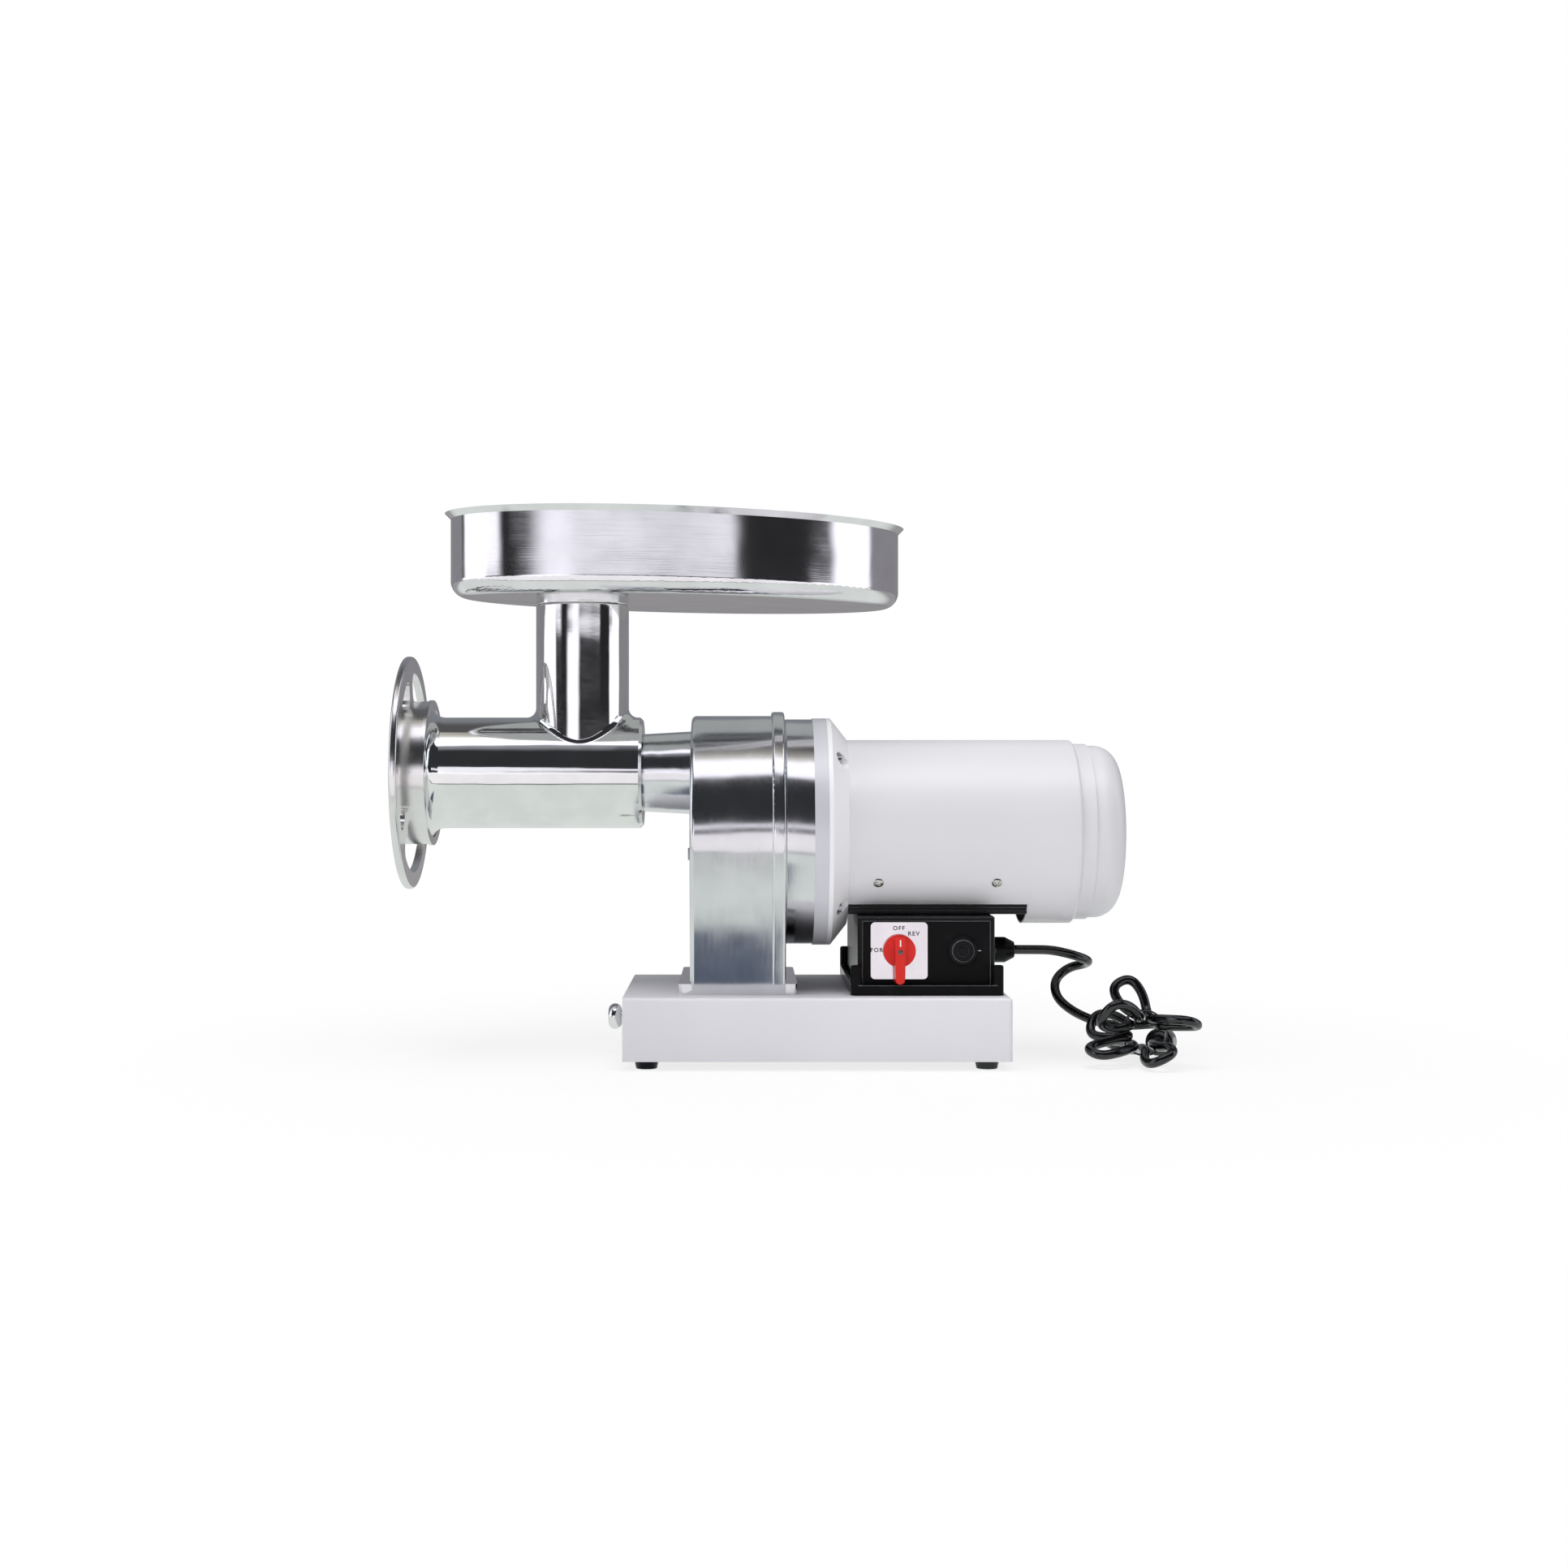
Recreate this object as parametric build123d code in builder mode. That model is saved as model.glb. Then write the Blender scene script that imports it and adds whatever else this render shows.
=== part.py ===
from build123d import *
import os
from math import acos, atan2, cos, degrees, pi, radians, sin, sqrt, tan

# Electric meat grinder on a sheet base with a drawer, in millimetres.
# The origin is on the floor under the middle of the base.
# +X points to the motor end, +Y to the rear and +Z up, and both shafts lie in the plane Y = 0.

os.makedirs("parts", exist_ok=True)

# Clearances
slide_gap = 0.3
running_gap = 0.06
seat_gap = 0.1
thread_gap = 0.3
bolt_gap = 0.2

# Height of the motor's shaft above the floor, and of the head's shaft above the motor's
motor_height = 192.4
shaft_offset = 50.6

# Sheet base and its feet
base_length = 318.0
base_width = 210.0
base_height = 52.0
base_sheet = 1.5
base_fold = 3.0
base_flange = 32.0
foot_height = 7.5
foot_radius = 10.2
foot_inset_x = 19.0
foot_inset_y = 20.0
foot_taper = 1.6

# Drawer
drawer_length = 250.0
drawer_height = 34.0
drawer_sheet = 1.2
drawer_side_gap = 0.8
drawer_knob_radius = 11.0
drawer_knob_reach = 17.5
drawer_knob_neck = 5.0
drawer_knob_neck_length = 6.0
drawer_knob_face = 4.0

# Gearbox casting
gearbox_front = -104.5
gearbox_length = 79.2
gearbox_wall = 9.5
gear_room = 1.8
gearbox_front_wall = 8.5
gearbox_edge = 4.0
bead_length = 11.2
bead_height = 3.5
pedestal_width = 160.0
pedestal_pocket_length = 46.0
pedestal_pocket_width = 100.0
pedestal_pocket_depth = 34.0
flange_reach = 9.5
flange_thickness = 9.0
collar_length = 42.0
collar_front_radius = 33.3
collar_root_radius = 35.6
collar_edge = 1.0
spigot_radius = 26.8
plug_drop = 19.4
plug_radius = 6.0
plug_reach = 3.6
plug_depth = 6.0

# Tie bolts and pedestal bolts
tie_inset = 4.0
tie_radius = 3.0
tie_head_radius = 5.0
tie_head_height = 5.0
tie_boss_radius = 8.0
tie_grip = 14.0
pedestal_bolt_radius = 4.0
pedestal_bolt_spacing_x = 44.0
pedestal_bolt_spacing_y = 132.0
pedestal_bolt_depth = 18.0
pedestal_bolt_head = 6.0
pedestal_bolt_head_radius = 7.6

# Rear cover, adapter ring and end bell between gearbox and motor
cover_length = 23.8
cover_step = 2.9
cover_web = 12.0
cover_edge = 1.5
adapter_length = 11.9
adapter_step = 2.1
adapter_bore = 76.0
adapter_land = 14.0
bell_length = 17.2
bell_rim_length = 3.5
bell_end_radius = 80.0
bell_web = 6.0
bell_spigot = 6.0
pocket_radius = 7.0
pocket_floor = 6.0

# Motor shroud, end cap and inner parts
shroud_length = 193.4
shroud_radius = 78.7
shroud_sheet = 1.5
shroud_edge = 3.0
shroud_drop = 59.8
shroud_cut_length = 150.4
cap_radius = 75.4
cap_length = 39.0
cap_overlap = 6.0
cap_seam = 12.0
cap_step = 1.5
cap_edge = 20.0
cap_wall = 2.0
vent_count = 10
vent_width = 5.0
vent_inner_radius = 24.0
vent_outer_radius = 46.0
stator_start = 30.0
stator_length = 96.0
stator_radius = 54.0
stator_bore = 33.0
winding_length = 14.0
winding_inner_radius = 37.0
winding_outer_radius = 49.0
air_gap = 0.6
motor_shaft_radius = 8.0
pinion_shaft_radius = 5.5
pinion_shaft_end = 4.0
fan_radius = 60.0
fan_hub_radius = 16.0
fan_disc = 2.0
fan_blade_height = 12.0
fan_blade_thickness = 2.5
fan_blade_count = 8
fan_blade_inset = 2.0
fan_offset = 22.0
end_bearing_length = 11.0
end_bearing_radius = 17.5
plate_width = 94.0
plate_thickness = 8.6
plate_groove_height = 2.4
plate_groove_depth = 2.0
plate_edge = 0.8
saddle_length = 10.0
saddle_width = 60.0

# Gear train: motor pinion, layshaft gear, layshaft pinion, output gear
fine_module = 1.5
coarse_module = 2.0
motor_pinion_teeth = 14
lay_gear_teeth = 46
lay_pinion_teeth = 13
output_gear_teeth = 36
fine_face = 12.0
coarse_face = 20.0
fine_gear_gap = 14.0
pressure_angle = 25.0
addendum = 0.8
dedendum = 1.1
tooth_backlash = 0.25
output_shaft_radius = 15.0
output_journal_radius = 10.0
output_bearing_radius = 26.0
output_bearing_length = 15.0
journal_bearing_radius = 17.5
journal_bearing_length = 10.0
layshaft_radius = 8.0
layshaft_bearing_radius = 14.0
layshaft_bearing_length = 9.0
seal_radius = 24.0
seal_length = 7.0
bearing_boss = 6.0
bearing_to_gear = 5.0
shaft_hole_gap = 1.0
end_play = 1.0

# Grinder head: barrel, throat and what turns inside
barrel_length = 196.5
barrel_radius = 47.6
barrel_bore = 42.5
barrel_rear_wall = 14.0
barrel_rear_edge = 2.5
spigot_length = 30.0
flare_length = 11.0
thread_length = 15.0
thread_radius = 55.0
throat_offset = 52.5
throat_radius = 39.9
throat_bore = 34.0
throat_length = 144.0
throat_fillet = 8.0
plate_radius = 49.3
grind_plate_thickness = 10.0
plate_proud = 1.0
plate_hole_radius = 4.75
plate_row_radii = (16.0, 26.8, 37.4)
plate_row_counts = (7, 12, 17)
plate_centre_radius = 7.0
knife_thickness = 13.0
knife_radius = 41.0
knife_hub_radius = 17.0
knife_blade_width = 15.0
knife_blade_count = 4
knife_tip_cut = 3.0
pin_setback = 1.0
stud_side = 16.0
screw_core_radius = 17.0
screw_pitch = 50.0
screw_flight = 9.0
screw_bore_gap = 0.8
flight_sink = 1.0
shank_radius = 13.5
tang_side = 16.0
tang_length = 17.0

# Retaining ring with its hand hoop
ring_radius = 61.5
ring_lip = 6.5
ring_skirt = 17.0
ring_bore = 44.0
ring_bead = 1.0
ring_bead_length = 3.0
hoop_radius = 100.0
hoop_inner_radius = 85.7
hoop_edge = 2.4
spoke_count = 3
spoke_width = 17.0
spoke_angle = 104.0
window_corner = 9.0

# Feed tray and its neck
tray_half_length = 206.7
tray_half_width = 111.0
tray_turn = 23.6
tray_offset = 91.9
tray_depth = 71.5
tray_sheet = 1.2
tray_fillet = 14.0
tray_lip = 5.0
neck_collar = 4.5
neck_edge = 1.2
neck_spigot_length = 45.0
neck_wall = 2.2

# Head locking screw at the rear of the collar
lock_radius = 4.0
lock_knob_radius = 12.0
lock_knob_length = 14.0
lock_neck = 4.0
lock_lobes = 6
lock_lobe_radius = 3.4
lock_core_radius = 10.3

# Switch box with its tray, panel, switch and reset button
box_left = 34.3
box_width = 113.5
box_front = -76.0
box_depth = 181.0
box_wall = 2.5
box_edge = 3.0
box_tray_margin_x = 6.2
box_tray_margin_y = 12.0
box_tray_floor = 3.5
box_tray_rail = 5.0
box_tray_rail_width = 3.0
post_radius = 4.6
post_height = 25.0
panel_thickness = 2.5
panel_border = 4.0
panel_recess = 1.0
switch_x = 68.5
switch_plate_width = 47.0
switch_plate_margin = 7.0
switch_plate_gap = 0.8
switch_plate_thickness = 1.2
switch_plate_corner = 3.5
knob_disc_radius = 13.4
knob_disc_length = 5.0
knob_lever_reach = 4.5
knob_lever_top = 13.0
knob_lever_width = 12.0
knob_lever_end = 5.0
knob_lever_shoulder = 2.0
knob_lever_taper = 5.0
knob_edge = 1.2
knob_lever_height = 15.0
switch_stem_radius = 3.0
switch_body_width = 34.0
switch_body_margin = 6.5
switch_body_depth = 42.0
reset_x = 121.2
reset_bezel_radius = 12.4
reset_bezel_length = 2.5
reset_nut_radius = 9.0
reset_nut_length = 3.5
reset_button_radius = 4.0
reset_button_reach = 4.0
reset_button_edge = 1.0
reset_travel = 3.0
breaker_depth = 34.0
capacitor_radius = 17.5
capacitor_length = 70.0
capacitor_y = 45.0
gland_y = 0.0
gland_rise = 27.5
gland_flange_radius = 12.2
gland_flange_length = 8.0
gland_nut_radius = 11.0
gland_thread_radius = 7.7
gland_nut_length = 9.0
gland_dome_length = 8.0
gland_dome_radius = 6.8

# Mains cord: a lead to a tied hank, whose strands pass through the waist in a ring, and the plug
cord_radius = 4.0
cord_sides = 8
lead_exit_run = 16.0
lead_points = (
    (206.0, 0.5, 90.2), (224.0, 2.0, 86.0), (240.0, 12.0, 80.0), (240.0, 32.0, 75.5),
    (226.0, 42.0, 71.5), (213.0, 36.0, 61.0), (212.0, 21.0, 48.0), (222.0, 4.0, 38.0), (238.0, -13.0, 31.0),
    (254.0, -26.0, 28.0), (271.0, -33.0, 29.0))
hank_centre = (274.0, -60.0, 26.0)
hank_ring_radius = 13.6
hank_half_length = 10.0
hank_first_angle = 61.0
hank_step = -40.0
hank_tip_share = 0.8
# Each loop of the hank: bearing from upright, lean from the waist, length, half width, roll
hank_loops = (
    (86, 50, 36, 12, 36), (-30, 70, 34, 11.5, 0), (-72, 58, 36, 14, -8), (-86, 58, 32, 12, 30),
    (-100, 62, 42, 12, 62), (-125, 12, 56, 12, 0), (150, 5, 42, 12.5, 8))
tail_steps = ((4.0, 14.0, -2.0), (9.0, 28.0, -3.0))
arc_share = 0.45
tie_gap = 0.5
tie_width = 6.0
tie_thickness = 1.2
plug_relief_length = 14.0
plug_relief_radius = 6.5
plug_body_length = 26.0
plug_body_radius = 12.0
plug_sleeve = 1.0
plug_body_edge = 3.0
blade_length = 16.0
blade_spacing = 12.7
blade_width = 6.3
blade_thickness = 1.5
blade_rise = 4.5
earth_pin_drop = 7.4
earth_pin_radius = 2.4

# Stations worked out from the sizes above
base_top = foot_height + base_height
head_height = motor_height + shaft_offset
throat_top = head_height + throat_length
plug_height = motor_height - plug_drop
head_rear = gearbox_front - collar_length
head_front = head_rear - barrel_length
throat_x = head_rear - throat_offset
housing_rear = gearbox_front + gearbox_length
cover_rear = housing_rear + cover_length
adapter_rear = cover_rear + adapter_length
bell_rear = adapter_rear + bell_length
shroud_rear = bell_rear + shroud_length
cap_rear = shroud_rear + cap_length
plate_top = motor_height - shroud_drop
box_top = plate_top - plate_thickness
box_floor = base_top + box_tray_floor
box_height = box_top - box_floor
gland_height = box_floor + gland_rise
grind_plate_front = head_front - plate_proud
grind_plate_rear = grind_plate_front + grind_plate_thickness
knife_front = grind_plate_rear + seat_gap
knife_rear = knife_front + knife_thickness
screw_rear = head_rear - barrel_rear_wall - slide_gap

# The switch plate fills the height of its box, and the switch and its lever follow the plate
switch_plate_height = box_height - 2 * switch_plate_margin
switch_height = box_top - panel_border - switch_plate_gap - switch_plate_height / 2
switch_body_height = switch_plate_height - 2 * switch_body_margin
knob_lever_length = switch_plate_height / 2 + knob_lever_reach

# The gearbox is wide enough for the output gear and for the motor's adapter ring
output_tip_radius = coarse_module * (output_gear_teeth / 2 + addendum)
housing_bore = max(shaft_offset + output_tip_radius + gear_room, adapter_bore + adapter_land)
gearbox_radius = housing_bore + gearbox_wall
cover_radius = gearbox_radius - cover_step
adapter_radius = gearbox_radius - adapter_step
tie_circle_radius = housing_bore - tie_inset

# The layshaft stands where both gear pairs mesh, to the rear of the two shafts
fine_centres = fine_module * (motor_pinion_teeth + lay_gear_teeth) / 2
coarse_centres = coarse_module * (lay_pinion_teeth + output_gear_teeth) / 2
lay_rise = (fine_centres**2 - coarse_centres**2 + shaft_offset**2) / (2 * shaft_offset)
lay_y = sqrt(fine_centres**2 - lay_rise**2)
lay_height = motor_height + lay_rise
output_bearing_rear = gearbox_front + output_bearing_length
coarse_start = output_bearing_rear + bearing_to_gear
fine_start = coarse_start + coarse_face + fine_gear_gap


def across(x, height, y=0.0):
    """A plane facing +X at the given station, with its local x along +Y."""
    return Plane((x, y, height), x_dir=(0, 1, 0), z_dir=(1, 0, 0))


def along(height):
    """The plane Y = 0 with its local x along +X and its local y measured up from a shaft."""
    return Plane((0, 0, height), x_dir=(1, 0, 0), z_dir=(0, -1, 0))


def shaft_axis(height, y=0.0):
    return Axis((0, y, height), (1, 0, 0))


def bar(plane, radius, length, bore=0.0, mode=Mode.ADD):
    """A round bar, or a tube with a bore, along the plane's normal."""
    with BuildSketch(plane) as section:
        Circle(radius)
        if bore:
            Circle(bore, mode=Mode.SUBTRACT)
    extrude(section.sketch, amount=length, mode=mode)


def block(plane, width, height, length, corner=0.0, mode=Mode.ADD):
    """A bar of rectangular section along the plane's normal."""
    with BuildSketch(plane) as section:
        if corner:
            RectangleRounded(width, height, corner)
        else:
            Rectangle(width, height)
    extrude(section.sketch, amount=length, mode=mode)


def turned(plane, axis, points, mode=Mode.ADD):
    """A turned piece from the outline of its half section."""
    with BuildSketch(plane) as section:
        with BuildLine():
            Polyline(*points, close=True)
        make_face()
    revolve(section.sketch, axis=axis, mode=mode)


def write(piece, name):
    piece.part.label = name
    export_step(piece.part, f"parts/{name}.step")


def tooth_outline(teeth, module, turn):
    """The outline of a spur gear with stub involute teeth, one of them centred on the angle turn."""
    pitch_radius = teeth * module / 2
    angle = radians(pressure_angle)
    base_radius = pitch_radius * cos(angle)
    root_radius = pitch_radius - dedendum * module
    tip_radius = pitch_radius + addendum * module
    start = max(base_radius, root_radius)
    radii = [start, (start + tip_radius) / 2, tip_radius]
    if root_radius < base_radius:
        radii.insert(0, root_radius)
    half_tooth = pi / (2 * teeth) - tooth_backlash / (2 * pitch_radius) + tan(angle) - angle
    flank = []
    for radius in radii:
        rolled = acos(min(1.0, base_radius / max(radius, base_radius)))
        flank.append((radius, half_tooth - tan(rolled) + rolled))
    points = []
    for tooth in range(teeth):
        centre = turn + 2 * pi * tooth / teeth
        points += [(r * cos(centre - half), r * sin(centre - half)) for r, half in flank]
        points += [(r * cos(centre + half), r * sin(centre + half)) for r, half in reversed(flank)]
    return points


def gear(plane, teeth, module, turn, length, bore):
    with BuildSketch(plane) as section:
        with BuildLine():
            Polyline(*tooth_outline(teeth, module, turn), close=True)
        make_face()
        Circle(bore, mode=Mode.SUBTRACT)
    extrude(section.sketch, amount=length)


# Base: one folded sheet box, open at the drawer end, with flanges turned in below
with BuildPart() as base_shell:
    with BuildSketch(Plane.XY.offset(foot_height)):
        Rectangle(base_length, base_width)
    extrude(amount=base_height)
    top_edges = base_shell.faces().sort_by(Axis.Z)[-1].edges()
    right_edges = base_shell.faces().sort_by(Axis.X)[-1].edges().filter_by(Axis.Z)
    fillet(top_edges.sort_by(Axis.X)[1:] + right_edges, base_fold)
    inner_length = base_length - base_sheet
    inner_height = base_height - 2 * base_sheet
    with BuildSketch(Plane((-base_sheet / 2, 0, foot_height + base_sheet))):
        Rectangle(inner_length, base_width - 2 * base_sheet)
    extrude(amount=inner_height, mode=Mode.SUBTRACT)
    with BuildSketch(Plane((-base_flange / 2, 0, foot_height))):
        Rectangle(base_length - base_flange, base_width - 2 * base_flange)
    extrude(amount=base_sheet, mode=Mode.SUBTRACT)
    with BuildSketch(Plane((gearbox_front + gearbox_length / 2, 0, base_top))):
        with GridLocations(pedestal_bolt_spacing_x, pedestal_bolt_spacing_y, 2, 2):
            Circle(pedestal_bolt_radius + bolt_gap)
    extrude(amount=-base_sheet, mode=Mode.SUBTRACT)
write(base_shell, "base_shell")

foot_spacing_x = base_length - 2 * foot_inset_x
foot_spacing_y = base_width - 2 * foot_inset_y
with BuildPart() as rubber_feet:
    with BuildSketch(Plane.XY.offset(foot_height)):
        with GridLocations(foot_spacing_x, foot_spacing_y, 2, 2):
            Circle(foot_radius)
    extrude(amount=-foot_height, taper=degrees(atan2(foot_taper, foot_height)))
write(rubber_feet, "rubber_feet")

# Drawer: a sheet tray that slides on the turned-in flanges, with a front that fills the open end
drawer_bottom = foot_height + base_sheet + seat_gap
drawer_width = base_width - 2 * base_sheet - 2 * drawer_side_gap
drawer_front_height = base_height - 2 * base_sheet - seat_gap - drawer_side_gap
drawer_front = -base_length / 2
with BuildPart() as drawer:
    with BuildSketch(Plane((drawer_front + drawer_length / 2, 0, drawer_bottom))):
        Rectangle(drawer_length, drawer_width)
    extrude(amount=drawer_height)
    with BuildSketch(Plane((drawer_front + drawer_length / 2, 0, drawer_bottom + drawer_sheet))):
        Rectangle(drawer_length - 2 * drawer_sheet, drawer_width - 2 * drawer_sheet)
    extrude(amount=drawer_height, mode=Mode.SUBTRACT)
    block(across(drawer_front, drawer_bottom + drawer_front_height / 2), drawer_width,
          drawer_front_height, drawer_sheet)
write(drawer, "drawer")

knob_height = drawer_bottom + drawer_front_height / 2
knob_face_x = drawer_front - drawer_knob_reach
knob_neck_x = drawer_front - drawer_knob_neck_length
with BuildPart() as drawer_knob:
    with BuildSketch(along(knob_height)):
        with BuildLine():
            Polyline((knob_face_x, drawer_knob_face), (knob_face_x, 0), (drawer_front, 0),
                     (drawer_front, drawer_knob_neck), (knob_neck_x, drawer_knob_neck))
            ThreePointArc((knob_neck_x, drawer_knob_neck),
                          ((knob_neck_x + knob_face_x) / 2, drawer_knob_radius),
                          (knob_face_x, drawer_knob_face))
        make_face()
    revolve(axis=shaft_axis(knob_height))
write(drawer_knob, "drawer_knob")

# Gearbox housing: a cast drum on a pedestal, with a collar in front that takes the grinder head
pedestal_drop = motor_height - base_top
inner_front = gearbox_front + gearbox_front_wall
spigot_end = head_rear + spigot_length
collar_floor = spigot_end + end_play
pedestal_x = gearbox_front + gearbox_length / 2
flange_length = gearbox_length + 2 * flange_reach
lock_x = head_rear + spigot_length / 2
with BuildPart() as gearbox_housing:
    with BuildSketch(across(gearbox_front, motor_height)):
        with BuildLine():
            CenterArc((0, 0), gearbox_radius, 0, 360)
            Line((-pedestal_width / 2, -pedestal_drop), (pedestal_width / 2, -pedestal_drop))
        make_hull()
    extrude(amount=gearbox_length)
    front_rim = gearbox_housing.faces().sort_by(Axis.X)[0].edges().sort_by(Axis.Z)[1:]
    fillet(front_rim, gearbox_edge)
    with BuildSketch(across(housing_rear, motor_height)):
        with BuildLine():
            CenterArc((0, 0), gearbox_radius + bead_height, 0, 360)
            Line((-pedestal_width / 2 - bead_height, flange_thickness - pedestal_drop),
                 (pedestal_width / 2 + bead_height, flange_thickness - pedestal_drop))
        make_hull()
    extrude(amount=-bead_length)
    bead_rims = gearbox_housing.edges().filter_by(GeomType.CIRCLE).filter_by(
        lambda edge: edge.radius > gearbox_radius + bead_height / 2)
    fillet(bead_rims, bead_height * 0.7)
    with BuildSketch(Plane((pedestal_x, 0, base_top))):
        RectangleRounded(flange_length, pedestal_width, gearbox_edge)
    extrude(amount=flange_thickness)
    turned(along(head_height), shaft_axis(head_height), (
        (head_rear, 0), (head_rear, collar_front_radius - collar_edge),
        (head_rear + collar_edge, collar_front_radius),
        (gearbox_front, collar_root_radius), (gearbox_front + gearbox_edge, collar_root_radius),
        (gearbox_front + gearbox_edge, 0)))
    with BuildSketch(across(inner_front, motor_height)):
        Circle(housing_bore)
        with PolarLocations(tie_circle_radius, 4, start_angle=45):
            Circle(tie_boss_radius, mode=Mode.SUBTRACT)
    extrude(amount=gearbox_length, mode=Mode.SUBTRACT)
    bar(across(inner_front, head_height), output_bearing_radius + bearing_boss,
        output_bearing_rear - inner_front)
    bar(across(inner_front, lay_height, lay_y), layshaft_bearing_radius + bearing_boss,
        layshaft_bearing_length)
    with BuildSketch(Plane((pedestal_x, 0, base_top))):
        RectangleRounded(pedestal_pocket_length, pedestal_pocket_width, gearbox_edge)
    extrude(amount=pedestal_pocket_depth, mode=Mode.SUBTRACT)
    with BuildSketch(Plane((pedestal_x, 0, base_top))):
        with GridLocations(pedestal_bolt_spacing_x, pedestal_bolt_spacing_y, 2, 2):
            Circle(pedestal_bolt_radius + bolt_gap)
    extrude(amount=pedestal_bolt_depth + bolt_gap, mode=Mode.SUBTRACT)
    with BuildSketch(across(housing_rear, motor_height)):
        with PolarLocations(tie_circle_radius, 4, start_angle=45):
            Circle(tie_radius + bolt_gap)
    extrude(amount=-tie_grip - bolt_gap, mode=Mode.SUBTRACT)
    bar(across(head_rear, head_height), spigot_radius + seat_gap, collar_floor - head_rear,
        mode=Mode.SUBTRACT)
    bar(across(collar_floor, head_height), seal_radius + running_gap, seal_length, mode=Mode.SUBTRACT)
    bar(across(collar_floor, head_height), output_shaft_radius + slide_gap, gearbox_length / 2,
        mode=Mode.SUBTRACT)
    bar(across(gearbox_front, head_height), output_bearing_radius + running_gap, gearbox_length / 2,
        mode=Mode.SUBTRACT)
    bar(across(inner_front, lay_height, lay_y), layshaft_bearing_radius + running_gap,
        layshaft_bearing_length, mode=Mode.SUBTRACT)
    bar(across(gearbox_front, plug_height), plug_radius / 2 + bolt_gap, plug_depth, mode=Mode.SUBTRACT)
    bar(Plane((lock_x, 0, head_height), x_dir=(1, 0, 0), z_dir=(0, 1, 0)), lock_radius + running_gap,
        collar_root_radius + lock_neck, mode=Mode.SUBTRACT)
write(gearbox_housing, "gearbox_housing")

with BuildPart() as pedestal_bolts:
    with BuildSketch(Plane((pedestal_x, 0, base_top - base_sheet))):
        with GridLocations(pedestal_bolt_spacing_x, pedestal_bolt_spacing_y, 2, 2):
            RegularPolygon(pedestal_bolt_head_radius, 6)
    extrude(amount=-pedestal_bolt_head)
    with BuildSketch(Plane((pedestal_x, 0, base_top - base_sheet))):
        with GridLocations(pedestal_bolt_spacing_x, pedestal_bolt_spacing_y, 2, 2):
            Circle(pedestal_bolt_radius)
    extrude(amount=base_sheet + pedestal_bolt_depth)
write(pedestal_bolts, "pedestal_bolts")

with BuildPart() as gearbox_plug:
    with BuildSketch(across(gearbox_front, plug_height)):
        RegularPolygon(plug_radius, 6)
    extrude(amount=-plug_reach)
    bar(across(gearbox_front, plug_height), plug_radius / 2, plug_depth - bolt_gap)
write(gearbox_plug, "gearbox_plug")

# Rear cover of the gearbox, with the rear bearings of both gear shafts
with BuildPart() as gearbox_cover:
    bar(across(housing_rear, motor_height), cover_radius, cover_length)
    fillet(gearbox_cover.edges().sort_by(Axis.X)[:1], cover_edge)
    bar(across(housing_rear + cover_web, motor_height), adapter_bore, cover_length, mode=Mode.SUBTRACT)
    bar(across(housing_rear, motor_height), motor_shaft_radius + shaft_hole_gap, cover_length,
        mode=Mode.SUBTRACT)
    bar(across(housing_rear, head_height), journal_bearing_radius + running_gap, journal_bearing_length,
        mode=Mode.SUBTRACT)
    bar(across(housing_rear, lay_height, lay_y), layshaft_bearing_radius + running_gap,
        layshaft_bearing_length, mode=Mode.SUBTRACT)
    with BuildSketch(across(housing_rear, motor_height)):
        with PolarLocations(tie_circle_radius, 4, start_angle=45):
            Circle(tie_radius + bolt_gap)
    extrude(amount=cover_length, mode=Mode.SUBTRACT)
write(gearbox_cover, "gearbox_cover")

with BuildPart() as motor_adapter:
    bar(across(cover_rear, motor_height), adapter_radius, adapter_length, bore=adapter_bore)
    with BuildSketch(across(cover_rear, motor_height)):
        with PolarLocations(tie_circle_radius, 4, start_angle=45):
            Circle(tie_radius + bolt_gap)
    extrude(amount=adapter_length, mode=Mode.SUBTRACT)
write(motor_adapter, "motor_adapter")

# Motor end bell: a cone with four bolt pockets, a bearing seat and a spigot for the shroud
shroud_bore = shroud_radius - shroud_sheet
bell_floor = adapter_rear + pocket_floor
bell_recess = bell_length - bell_web - end_bearing_length / 2
with BuildPart() as motor_end_bell:
    turned(along(motor_height), shaft_axis(motor_height), (
        (adapter_rear, 0), (adapter_rear, adapter_radius), (adapter_rear + bell_rim_length, adapter_radius),
        (bell_rear, bell_end_radius), (bell_rear, 0)))
    bar(across(bell_rear, motor_height), shroud_bore - seat_gap, bell_spigot,
        bore=shroud_bore - 2 * shroud_sheet - bell_spigot / 2)
    block(across(bell_rear, plate_top - shroud_radius / 2), 2 * shroud_radius, shroud_radius, bell_spigot,
          mode=Mode.SUBTRACT)
    bar(across(adapter_rear, motor_height), adapter_bore, bell_recess, bore=end_bearing_radius + bearing_boss,
        mode=Mode.SUBTRACT)
    bar(across(adapter_rear, motor_height), motor_shaft_radius + shaft_hole_gap, bell_length,
        mode=Mode.SUBTRACT)
    bar(across(bell_rear, motor_height), end_bearing_radius + running_gap, -end_bearing_length,
        mode=Mode.SUBTRACT)
    with BuildSketch(across(bell_floor, motor_height)):
        with PolarLocations(tie_circle_radius, 4, start_angle=45):
            Circle(pocket_radius)
    extrude(amount=bell_length, mode=Mode.SUBTRACT)
    with BuildSketch(across(adapter_rear, motor_height)):
        with PolarLocations(tie_circle_radius, 4, start_angle=45):
            Circle(tie_radius + bolt_gap)
    extrude(amount=bell_length, mode=Mode.SUBTRACT)
write(motor_end_bell, "motor_end_bell")

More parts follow.
